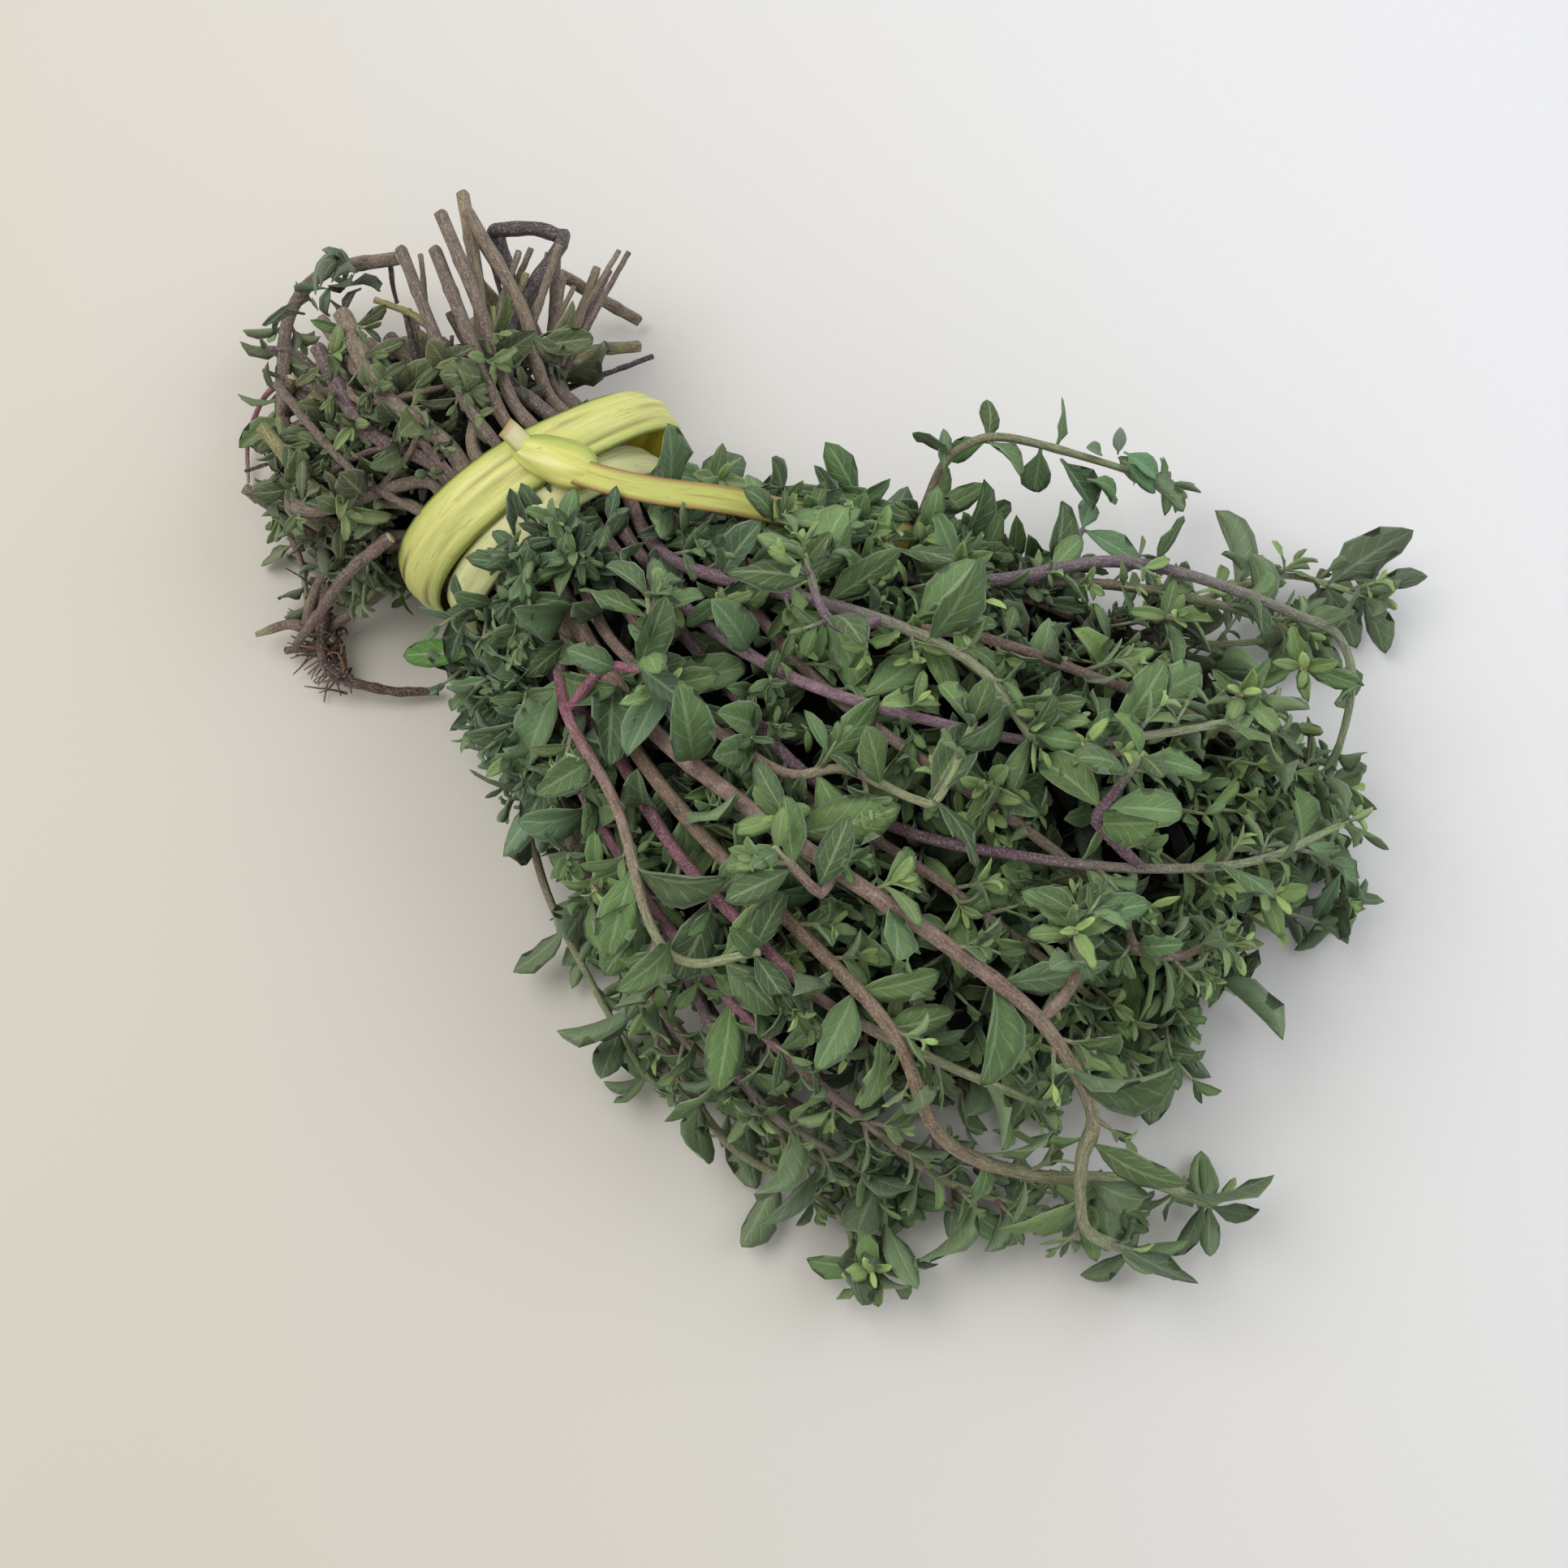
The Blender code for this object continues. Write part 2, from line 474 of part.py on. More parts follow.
def grown_leaves(name, wanted, crowd):
    """The leaves of one sprig, each in the first way that leaves it clear of all other sprigs and of the
    sprig's own leaves beyond their roots. One that finds no room didn't grow."""
    crowd.start_own()
    kept = []
    for leaf in wanted:
        for turn, lean, scale in WAYS:
            trial = aimed(leaf, turn, lean, scale)
            if crowd.clear(name, trial):
                kept.append(trial)
                crowd.add_own(trial)
                break
    for leaf in kept:
        crowd.add(name, *leaf_blade(leaf))
    crowd.refresh()
    return kept


def outward_from_core(p):
    """The direction from the core's middle line out to a point."""
    cy, cz, hw, hh = core_at(p[0])
    return unit(np.array([0.0, (p[1] - cy) / hw**2, (p[2] - cz) / hh**2 + 1e-6]))


def leaves_wanted(name, points, length, is_shoot, seed):
    """The leaves that a stem would like to carry: pairs along it, clear of the tie and the cut end, and a
    whorl at the tip."""
    if not length:
        return []
    rng = np.random.default_rng([SEED, seed])
    t = tangents(points)
    leaves = []
    last = len(points) - 1
    for k in range(last + 1):
        at, ahead = points[k], t[k]
        if k < last:
            at, ahead = (points[k] + points[k + 1]) / 2, unit(t[k] + t[k + 1])
        in_tie = LEAFLESS[0] < at[0] < LEAFLESS[1] and math.hypot(*(at[1:] - NECK_CENTRE)) < 31
        bare = at[0] < TIE_ZONE[0] and (name in BARE_BUTTS or at[0] < -124 and name not in BUTTS)
        if in_tie or bare or k == 0:
            continue
        outward = outward_from_core(at)
        outward = unit(outward - ahead * (outward @ ahead) + 1e-6)
        size = length * (0.72 if at[0] < TIE_ZONE[0] else 1.0)
        if k < last:
            leaves += pair_of_leaves(k, at, ahead, outward, size, rng)
            continue
        root = at - ahead * 1.2
        leaves += pair_of_leaves(0, root, ahead, outward, size * 0.72, rng)
        leaves += pair_of_leaves(1, root, ahead, outward, size * 0.6, rng)
    return leaves


def core_body():
    """The crowded stems and leaves inside: a lumpy body along the bundle, flat where it lies."""
    rng = np.random.default_rng([SEED, 501])
    verts = []
    for x, cy, cz, hw, hh in CORE:
        for q in range(CORE_SIDES):
            a = 2 * math.pi * q / CORE_SIDES
            lump = 1 + CORE_LUMP * rng.uniform(-1, 1) * (0 if TIE_ZONE[0] < x < TIE_ZONE[1] else 1)
            z = max(0.8, cz + hh * lump * math.sin(a))
            if x in CORE_FLAT and math.sin(a) < -0.9:
                z = 0.0
            verts.append((x, cy + hw * lump * math.cos(a), z))
    faces = []
    for k in range(len(CORE) - 1):
        for q in range(CORE_SIDES):
            a, b = CORE_SIDES * k + q, CORE_SIDES * k + (q + 1) % CORE_SIDES
            faces.append((a, b, b + CORE_SIDES, a + CORE_SIDES))
    end = CORE_SIDES * (len(CORE) - 1)
    faces.append(tuple(reversed(range(CORE_SIDES))))
    faces.append(tuple(range(end, end + CORE_SIDES)))
    return np.array(verts), [face[::-1] for face in faces]


def core_leaves_wanted():
    """Leaves that stand out of the core between the sprigs, in staggered rows along the bundle."""
    rng = np.random.default_rng([SEED, 777])
    leaves = []
    for row, x in enumerate([*range(-108, -90, 9), *range(-46, 100, 13)]):
        cy, cz, hw, hh = core_at(x)
        count = int(2 * math.pi * math.hypot(hw, hh) / 1.5 / 23)
        for q in range(count):
            a = 2 * math.pi * (q + 0.5 * (row % 2)) / count + rng.uniform(-0.12, 0.12)
            if math.sin(a) < -0.55:
                continue
            outward = unit(np.array([0.0, math.cos(a) / hw, math.sin(a) / hh]))
            skin = 1 - CORE_LUMP - 0.06
            along = x + rng.uniform(-3, 3)
            shell = np.array([along, cy + hw * skin * math.cos(a), cz + hh * skin * math.sin(a)])
            t = unit(np.array([1.0, 0, 0]) + 0.5 * rng.uniform(-1, 1) * np.cross(outward, (1, 0, 0)))
            turn = rng.uniform(-0.8, 0.8)
            across = np.cross(t, outward)
            away = outward * math.cos(turn) + across * math.sin(turn)
            size = rng.uniform(13, 18)
            leaves.append({
                "root": shell - outward, "t": t, "away": away, "lean": math.radians(rng.uniform(42, 80)),
                "length": size + 2.2, "width": size * rng.uniform(0.42, 0.5),
                "arch": math.radians(rng.uniform(20, 75)), "fold": math.radians(rng.uniform(8, 30)),
                "wave": rng.uniform(-0.2, 0.2), "outward": outward, "show": rng.uniform(0.4, 2.6),
            })
    return leaves


def ribbon(points, width, thickness, across, closed=False, bow=0.0):
    """A flat strip along the points. across gives the direction of its width, and bow lifts its middle."""
    p = np.asarray(points, float)
    n = len(p)
    ahead = np.roll(p, -1, 0) - np.roll(p, 1, 0) if closed else np.gradient(p, axis=0)
    t = unit(ahead)
    w = unit(across - t * (across * t).sum(1, keepdims=True))
    out = np.cross(t, w)
    half = (np.broadcast_to(np.asarray(width, float), (n,)) / 2)[:, None]
    h = thickness / 2
    ring = np.stack([p + w * half - out * h, p + w * half + out * h, p + out * (h + bow),
                     p - w * half + out * h, p - w * half - out * h, p + out * (bow - h)], axis=1)
    verts = ring.reshape(-1, 3)
    faces = []
    m = ring.shape[1]
    for k in range(n if closed else n - 1):
        for q in range(m):
            a, b = m * k + q, m * k + (q + 1) % m
            c, d = m * ((k + 1) % n) + (q + 1) % m, m * ((k + 1) % n) + q
            faces.append((a, b, c, d))
    if not closed:
        faces += [(5, 4, 3, 2), (5, 2, 1, 0)]
        e = m * (n - 1)
        faces += [(e + 2, e + 3, e + 4, e + 5), (e, e + 1, e + 2, e + 5)]
    return verts, faces


def turn_of_blade(radii, x, lean, bulge):
    """One turn of the blade: an ellipse round the neck that leans along it and bulges on its far upper side.
    Returns its points and the directions across the strip."""
    a = np.linspace(0, 2 * math.pi, 23)[:-1]
    reach = 1 + bulge * np.exp(-(((a - 0.62) / 0.42) ** 2))
    y = radii[0] * np.cos(a) * reach
    z = np.maximum(NECK_CENTRE[1] + radii[1] * np.sin(a) * reach, BLADE_THICKNESS / 2 + 0.6)
    loop = np.stack([x + lean * y, NECK_CENTRE[0] + y, z], axis=1)
    ahead = np.roll(loop, -1, 0) - np.roll(loop, 1, 0)
    return loop, np.cross(unit(ahead), np.stack([0 * a, np.cos(a), np.sin(a)], axis=1))


def wide_turn():
    loop, across = turn_of_blade(**WIDE_TURN)
    return ribbon(loop, WIDE_TURN_WIDTH, BLADE_THICKNESS, across, closed=True, bow=0.5)


def pale_turn():
    loop, across = turn_of_blade(**PALE_TURN)
    return ribbon(loop, PALE_TURN_WIDTH, BLADE_THICKNESS, across, closed=True)


def knot():
    """The swollen lobe of the knot, flattened and pointed at both ends."""
    along = unit(np.array(KNOT_ALONG))
    side = unit(np.cross((0, 0, 1), along))
    up = np.cross(along, side)
    stops = (-1.0, -0.78, -0.4, 0.05, 0.5, 0.82, 1.0)
    sizes = (0.22, 0.62, 0.92, 1.0, 0.88, 0.6, 0.3)
    sides = 8
    verts, faces = [], []
    for s, size in zip(stops, sizes):
        for q in range(sides):
            a = 2 * math.pi * q / sides
            ring = side * math.cos(a) * KNOT_HALF[1] + up * math.sin(a) * KNOT_HALF[2]
            verts.append(np.array(KNOT_CENTRE) + along * s * KNOT_HALF[0] + ring * size)
    for k in range(len(stops) - 1):
        for q in range(sides):
            a, b = sides * k + q, sides * k + (q + 1) % sides
            faces.append((a, b, b + sides, a + sides))
    end = sides * (len(stops) - 1)
    return np.array(verts), [*faces, tuple(reversed(range(sides))), tuple(range(end, end + sides))]


def strip(points, width, thickness, bow):
    """An open strip that lies flat side up."""
    path = smooth_curve(points, 11.0)
    flat = np.cross(tangents(path), (0.0, 0.0, 1.0))
    return ribbon(path, width, thickness, flat, bow=bow)


def mesh_object(name, verts, faces):
    mesh = bpy.data.meshes.new(name)
    mesh.from_pydata([tuple((np.array(v) - MIDDLE) * MM) for v in verts], [], faces)
    form = bmesh.new()
    form.from_mesh(mesh)
    bmesh.ops.triangulate(form, faces=form.faces)
    bmesh.ops.recalc_face_normals(form, faces=form.faces)
    form.to_mesh(mesh)
    form.free()
    return bpy.data.objects.new(name, mesh)


def paint(obj, colour, roughness):
    material = bpy.data.materials.new(obj.name)
    material.use_nodes = True
    shader = material.node_tree.nodes["Principled BSDF"]
    shader.inputs["Base Color"].default_value = (*colour, 1)
    shader.inputs["Roughness"].default_value = roughness
    obj.data.materials.clear()
    obj.data.materials.append(material)


def outer_skin(mesh):
    """Leaves only the outer skin, without any pocket that was closed in between leaves."""
    form = bmesh.new()
    form.from_mesh(mesh)
    groups, seen = [], set()
    for start in form.verts:
        if start in seen:
            continue
        group, open_ends = [], [start]
        seen.add(start)
        while open_ends:
            vert = open_ends.pop()
            group.append(vert)
            for edge in vert.link_edges:
                other = edge.other_vert(vert)
                if other not in seen:
                    seen.add(other)
                    open_ends.append(other)
        groups.append(group)
    groups.sort(key=len)
    bmesh.ops.delete(form, geom=[vert for group in groups[:-1] for vert in group], context="VERTS")
    form.to_mesh(mesh)
    form.free()


def fused(name, shapes, colour, roughness):
    """One solid from overlapping shapes: the first takes in the others by a Boolean union."""
    body = mesh_object(name, *shapes[0])
    bpy.context.scene.collection.objects.link(body)
    if len(shapes) > 1:
        group = bpy.data.collections.new(name + "_shapes")
        bpy.context.scene.collection.children.link(group)
        others = [mesh_object(f"{name}_shape{k}", *shape) for k, shape in enumerate(shapes[1:])]
        for other in others:
            group.objects.link(other)
        union = body.modifiers.new("union", "BOOLEAN")
        union.operation = "UNION"
        union.solver = "EXACT"
        union.operand_type = "COLLECTION"
        union.collection = group
        bpy.context.view_layer.update()
        joined = bpy.data.meshes.new_from_object(body.evaluated_get(bpy.context.evaluated_depsgraph_get()))
        outer_skin(joined)
        body.modifiers.clear()
        body.data = joined
        for other in others:
            bpy.data.objects.remove(other)
        bpy.data.collections.remove(group)
    paint(body, colour, roughness)
    return body


def main():
    for obj in list(bpy.data.objects):
        bpy.data.objects.remove(obj)
    tie = [wide_turn(), pale_turn(), knot(), strip(CUT_END, CUT_END_WIDTH, 1.2, 0.3),
           strip(TAIL, TAIL_WIDTH, TAIL_THICKNESS, 0.6)]
    fixed = [(TAIL_WIDTH / 2 + 0.6, joints_of(smooth_curve(TAIL))), (KNOT_HALF[2] + 0.8, np.array(
        [np.array(KNOT_CENTRE) + unit(KNOT_ALONG) * s for s in (-6, 6)]))]
    stems = settle(stem_paths(), fixed)
    crowd = Crowd()
    for verts, faces in tie:
        crowd.add("tie", verts, faces)
    crowd.add("heart", *core_body())
    sprigs = {}
    for name, diameter, points, _, _ in stems:
        shape = square_stem(points, diameter / 2)
        crowd.add(name, *shape)
        sprigs.setdefault(name, []).append(shape)
    crowd.refresh()
    for name in sprigs:
        wanted = []
        for seed, (owner, _, points, length, is_shoot) in enumerate(stems):
            if owner == name:
                wanted += leaves_wanted(name, points, length, is_shoot, seed)
        sprigs[name] += [leaf_blade(leaf) for leaf in grown_leaves(name, wanted, crowd)]
    heart = [core_body()]
    heart += [leaf_blade(leaf) for leaf in grown_leaves("heart", core_leaves_wanted(), crowd)]
    for name, shapes in sprigs.items():
        fused(name, shapes, COLOURS["leaf"], 0.7)
    fused("heart", heart, COLOURS["heart"], 0.8)
    fused("leaf_strip_tie", tie, COLOURS["tie"], 0.5)


main()
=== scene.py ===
"""A bundle of fresh marjoram on a pale table, tied near its cut ends with a strip of green leaf blade."""

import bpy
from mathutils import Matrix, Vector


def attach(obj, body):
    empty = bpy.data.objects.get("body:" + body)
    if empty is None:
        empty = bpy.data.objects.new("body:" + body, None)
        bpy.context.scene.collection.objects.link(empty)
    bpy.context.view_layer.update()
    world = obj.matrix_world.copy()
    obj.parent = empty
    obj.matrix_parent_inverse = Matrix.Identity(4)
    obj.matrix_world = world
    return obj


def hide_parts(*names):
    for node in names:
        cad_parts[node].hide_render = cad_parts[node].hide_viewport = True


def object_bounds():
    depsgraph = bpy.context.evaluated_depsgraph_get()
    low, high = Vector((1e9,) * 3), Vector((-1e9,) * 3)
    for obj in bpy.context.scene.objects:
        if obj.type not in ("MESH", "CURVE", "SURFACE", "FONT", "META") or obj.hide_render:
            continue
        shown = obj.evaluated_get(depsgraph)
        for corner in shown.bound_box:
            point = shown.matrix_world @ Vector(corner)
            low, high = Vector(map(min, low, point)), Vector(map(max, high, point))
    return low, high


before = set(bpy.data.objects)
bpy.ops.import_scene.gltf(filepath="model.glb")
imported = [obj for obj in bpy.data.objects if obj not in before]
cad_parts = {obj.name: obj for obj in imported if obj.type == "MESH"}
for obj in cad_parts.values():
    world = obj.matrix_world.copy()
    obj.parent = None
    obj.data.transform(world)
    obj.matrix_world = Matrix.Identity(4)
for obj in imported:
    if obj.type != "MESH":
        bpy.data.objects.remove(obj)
cad_box = [list(map(float, corner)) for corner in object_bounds()]

import math

import bpy
import numpy as np
from mathutils import Matrix, Vector

# The stems
# Marjoram grows as square, ribbed stems under a fine down, wine red to brown where they are older. Here each
# one runs from its cut end through the tie to its tip. The stems lie against each other in the tie, and
# spread out and bend over one another beyond it. Lengths are in millimetres, in a drawing frame with +X
# towards the tips.
MM = 0.001
SEED = 23
# Plan centre of the finished bundle, in the drawing frame used below
MIDDLE = np.array([-16.89, 30.51, 0.0])
# The core: x, centre y, centre z, half width, half height
CORE = np.array([
    (-127, 5, 17, 11, 6.5), (-117, 1, 19.5, 21, 12), (-104, 1, 22.5, 24, 15.5), (-92, 4.5, 25, 19.5, 16.5),
    (-75, 6, 25.5, 18.2, 16.5), (-58, 6, 25, 18.4, 16.8), (-46, 7, 24.5, 21, 18.5), (-30, 9, 23.5, 30, 22),
    (-12, 11, 22, 38, 22.5), (12, 14, 22.5, 45, 23), (36, 20, 21, 48, 20.5), (58, 26, 17, 42, 16),
    (72, 30, 12.5, 27, 10.5), (81, 31, 9.5, 10, 6),
], float)
CORE_LUMP = 0.07
# The neck, where the tie holds the stems
NECK_CENTRE = (6.0, 25.5)
NECK_STEMS = (21.3, 19.4)
TIE_ZONE = (-92.0, -48.0)
LEAFLESS = (-93.0, -54.0)
NECK_REACH = 31
FLOOR_GAP = 0.4
STEM_GAP = 0.55
# Stems seen from above: name, diameter, points from the tie to the tip, and the length of the largest leaves
HEAD_STEMS = [
    ("crimson_sprig", 3.2, [(-53, -17, 42), (-39, -19, 48), (-28, -23, 52), (-15, -28, 53),
                            (-4, -35, 51), (8, -40, 50), (17, -38, 52), (23, -30, 57)], 17),
    ("thick_sprig", 3.9, [(-31, -12, 49), (-1, -13, 56), (23, -11, 62), (37, -9, 62), (50, -6, 59),
                          (60, -4, 56), (73, -5, 50), (84, -8, 42), (88, -16, 35), (97, -21, 24),
                          (108, -16, 9)], 19),
    ("brown_sprig", 3.3, [(-10, -20, 50), (24, -22, 52), (47, -24, 54), (59, -28, 50), (69, -30, 45),
                          (79, -27, 39), (88, -20, 33), (101, -7, 24), (113, 1, 9)], 17),
    ("wine_sprig", 2.9, [(-29, -19, 44), (2, -27, 50), (31, -28, 54), (41, -26, 53), (52, -23, 50),
                         (64, -18, 46), (76, -13, 41)], 16),
    ("violet_sprig", 3.0, [(-40, 12, 50), (-21, 21, 55), (-4, 28, 60), (6, 32, 62), (15, 33, 63),
                           (22, 31, 63), (32, 30, 62)], 17),
    ("hooked_sprig", 2.8, [(-40, -7, 49), (-12, -6, 54), (3, -4, 57), (11, 3, 61), (20, 5, 64),
                           (27, 9, 65), (27, 16, 66), (23, 24, 68)], 16),
    ("dusky_sprig", 2.8, [(7, -1, 53), (30, 7, 54), (43, 15, 55), (53, 23, 56), (62, 30, 53),
                          (73, 44, 46), (80, 56, 42), (82, 66, 38)], 16),
    ("mauve_sprig", 2.8, [(-20, 7, 54), (3, 15, 58), (21, 23, 60), (36, 34, 60), (43, 42, 58),
                          (51, 57, 51), (57, 68, 44)], 17),
    ("bare_sprig", 2.9, [(-35, 29, 40), (-5, 46, 40), (6, 62, 37), (18, 78, 35), (26, 83, 34),
                         (36, 88, 33), (47, 93, 31), (55, 97, 29), (64, 94, 26), (71, 83, 21),
                         (77, 73, 14)], 11),
    ("arching_sprig", 2.2, [(-29, 33, 34), (-16, 46, 26), (-17, 56, 29), (-20, 64, 40), (-19, 69, 45),
                            (-16, 75, 45), (-8, 82, 41), (-1, 89, 34), (5, 98, 26), (11, 102, 19)], 12),
    ("far_sprig", 2.4, [(-20, 34, 38), (0, 50, 34), (19, 62, 30), (26, 74, 26), (32, 89, 18),
                        (37, 101, 15), (43, 109, 13), (55, 117, 8)], 19),
    ("trailing_sprig", 2.5, [(-26, -32, 30), (1, -45, 22), (25, -53, 13), (36, -55, 9), (48, -53, 6),
                             (58, -50, 6), (67, -49, 7), (76, -52, 7)], 16),
    ("lilac_sprig", 2.6, [(-12, -30, 38), (29, -45, 30), (45, -46, 20), (56, -43, 16), (63, -40, 13),
                          (66, -43, 10), (74, -49, 7)], 17),
    ("pink_sprig", 2.4, [(-5, -34, 40), (30, -38, 40), (52, -36, 30), (66, -33, 19), (76, -31, 12),
                         (86, -25, 9)], 17),
    ("edge_sprig", 2.4, [(-48, -26, 13), (-36, -36, 13), (-20, -46, 10), (-8, -50, 10), (5, -53, 8),
                         (18, -57, 5)], 14),
    ("front_sprig", 2.8, [(-8, 14, 54), (30, 16, 60), (58, 22, 48), (74, 27, 33), (84, 32, 19),
                          (89, 35, 9)], 17),
    ("ridge_sprig", 2.7, [(-22, 22, 48), (12, 40, 56), (38, 54, 48), (58, 67, 34), (69, 75, 20),
                          (75, 80, 9)], 17),
    ("upper_side_sprig", 2.6, [(-30, 32, 34), (-4, 54, 36), (20, 74, 32), (38, 89, 24),
                               (50, 99, 12)], 16),
    ("lower_side_sprig", 2.5, [(-32, 34, 20), (-8, 52, 16), (20, 72, 12), (40, 88, 8), (52, 104, 5)], 16),
    ("floor_sprig_far", 2.4, [(-30, 28, 8), (0, 46, 5), (34, 62, 4), (60, 70, 4), (82, 68, 4)], 15),
    ("tip_sprig", 2.5, [(-14, -4, 50), (36, 2, 52), (62, 8, 38), (75, 12, 22), (83, 16, 10),
                        (87, 22, 5)], 16),
    ("left_flank_sprig", 2.5, [(-34, -30, 34), (-4, -43, 34), (26, -48, 26), (48, -46, 19),
                               (64, -43, 11)], 16),
    ("floor_sprig_near", 2.4, [(-36, -26, 8), (-4, -42, 5), (26, -50, 4), (50, -45, 3),
                               (68, -38, 4)], 15),
    ("front_floor_sprig", 2.4, [(-20, -24, 14), (30, -42, 12), (64, -31, 9), (86, -18, 7),
                                (101, -11, 5)], 15),
    ("far_corner_sprig", 2.4, [(-24, 38, 26), (8, 62, 22), (38, 78, 18), (62, 80, 13), (82, 72, 8),
                               (92, 62, 5)], 16),
]
# Cut ends that bend their own way, from the tie outwards; every other stem's cut end follows a rule
BUTTS = {
    "crimson_sprig": [(-93, -14, 38), (-108, -20, 30), (-126, -14, 20), (-141, -5, 15), (-149, 4, 14),
                      (-149, 14, 18), (-144, 21, 22), (-137, 27, 24)],
    "edge_sprig": [(-93, -16, 20), (-100, -22, 16), (-102, -29, 13), (-100, -36, 9), (-94, -41, 6),
                   (-87, -42, 5), (-79, -36, 4), (-71, -30, 3)],
    "hooked_sprig": [(-101, 21, 43), (-117, 33, 40), (-131, 43, 36)],
    "violet_sprig": [(-92, 18, 42), (-103, 31, 36), (-111, 50, 34), (-122, 41, 35), (-113, 37, 30)],
    "bare_sprig": [(-90, 27, 30), (-101, 36, 24), (-111, 48, 20), (-107, 52, 14), (-103, 54, 8),
                   (-100, 58, 3)],
    "upper_side_sprig": [(-93, 30, 21), (-98, 40, 15), (-93, 52, 9)],
}
# Sprigs whose cut ends have lost their leaves
BARE_BUTTS = ("hooked_sprig", "violet_sprig", "bare_sprig", "upper_side_sprig")
# Side shoots: name of the sprig they grow from, diameter, and points from the fork to the tip
SHOOTS = [
    ("thick_sprig", 2.2, [(24, -16, 64), (19, -17, 68), (14, -17, 71)], 13),
    ("thick_sprig", 2.2, [(66, 4, 55), (62, 10, 57), (57, 14, 59)], 13),
    ("violet_sprig", 2.2, [(-6, 21, 65), (-13, 21, 69), (-19, 25, 71)], 14),
    ("dusky_sprig", 2.2, [(50, 27, 62), (49, 33, 64), (48, 41, 66)], 15),
    ("crimson_sprig", 2.0, [(-33, -12, 58), (-27, -8, 62), (-30, -2, 64), (-36, 2, 64)], 13),
    ("front_sprig", 2.0, [(70, 18, 50), (77, 24, 46), (79, 32, 42)], 12),
    ("crimson_sprig", 1.7, [(-134, -14, 11), (-122, -25, 7), (-110, -31, 5), (-102, -37, 4)], 12),
    ("crimson_sprig", 1.3, [(-141, -12, 10), (-139, -20, 4), (-133, -26, 2)], 0),
    ("edge_sprig", 2.4, [(-101, -42, 8), (-105, -48, 6)], 0),
]
# The tie: a blade of green leaf, wound twice and knotted on top
BLADE_THICKNESS = 0.9
PALE_TURN = {"radii": (24.4, 23.4), "x": -66.5, "lean": 0.15, "bulge": 0.0}
PALE_TURN_WIDTH = 8.0
WIDE_TURN = {"radii": (26.0, 24.5), "x": -75.5, "lean": 0.2, "bulge": 0.2}
WIDE_TURN_WIDTH = 10.5
KNOT_CENTRE = (-70.5, 11.0, 52.6)
KNOT_ALONG = (0.93, 0.37, 0.02)
KNOT_HALF = (9.0, 5.3, 3.8)
CUT_END = [(-76, 9, 53.5), (-80, 8.5, 56), (-83, 7.5, 58.5)]
CUT_END_WIDTH = 4.2
TAIL = [(-68, 11, 54), (-60, 14, 55.5), (-51, 19, 56.5), (-41, 26, 57), (-32, 33, 54), (-23, 42, 47),
        (-14, 52, 37), (-4, 61, 27), (8, 68, 18)]
TAIL_WIDTH = 5.0
TAIL_THICKNESS = 1.5


def unit(v):
    """Vectors scaled to length one, along the last axis."""
    v = np.asarray(v, float)
    return v / np.maximum(np.linalg.norm(v, axis=-1, keepdims=True), 1e-9)


def smooth_curve(points, step=1.0):
    """A Catmull-Rom curve through the points, sampled about every step."""
    p = np.asarray(points, float)
    p = np.vstack([2 * p[0] - p[1], p, 2 * p[-1] - p[-2]])
    out = []
    for a, b, c, d in zip(p[:-3], p[1:-2], p[2:-1], p[3:]):
        t = np.linspace(0, 1, max(2, int(np.linalg.norm(c - b) / step) + 1), endpoint=False)[:, None]
        out.append(0.5 * (2 * b + (c - a) * t + (2 * a - 5 * b + 4 * c - d) * t**2
                          + (3 * b - a - 3 * c + d) * t**3))
    return np.vstack([*out, p[-2][None]])


def joints_of(curve, longest=24.0, turn=0.85):
    """The curve's points at its nodes: one for every longest mm, and more where it turns and in the tie."""
    steps = np.diff(curve, axis=0)
    lengths = np.linalg.norm(steps, axis=1)
    heading = unit(steps)
    bend = np.arccos(np.clip((heading[1:] * heading[:-1]).sum(1), -1, 1))
    in_tie = (curve[:-1, 0] > TIE_ZONE[0] - 4) & (curve[:-1, 0] < TIE_ZONE[1] + 4)
    measure = np.maximum(lengths / np.where(in_tie, 13.0, longest), np.append(bend, 0) / turn)
    total = np.append(0, np.cumsum(measure))
    count = max(3, int(math.ceil(total[-1])) + 1)
    at = np.interp(np.linspace(0, total[-1], count), total, np.arange(len(curve)))
    return np.stack([np.interp(at, np.arange(len(curve)), curve[:, k]) for k in range(3)], axis=1)


def core_at(x):
    """Centre y, centre z, half width and half height of the core at x."""
    return [np.interp(x, CORE[:, 0], CORE[:, k]) for k in (1, 2, 3, 4)]


def neck_angles(first_points):
    """A place round the neck for each stem, in the order of the places where the stems spread out."""
    p = np.array(first_points)
    angle = np.arctan2((p[:, 2] - NECK_CENTRE[1]) * 1.25, p[:, 1] - NECK_CENTRE[0])
    angle = np.where(angle < -math.pi / 2, angle + 2 * math.pi, angle)
    places = np.radians(np.linspace(-62, 242, len(p)))
    out = np.empty(len(p))
    out[np.argsort(angle, kind="stable")] = places
    return out


def neck_point(angle, x, spread=1.0, shift=(0.0, 0.0)):
    """The point at x on the ellipse of stems in the tie, grown by spread and moved by shift."""
    y = NECK_CENTRE[0] + shift[0] + NECK_STEMS[0] * spread * math.cos(angle)
    return (x, y, NECK_CENTRE[1] + shift[1] + NECK_STEMS[1] * spread * math.sin(angle))


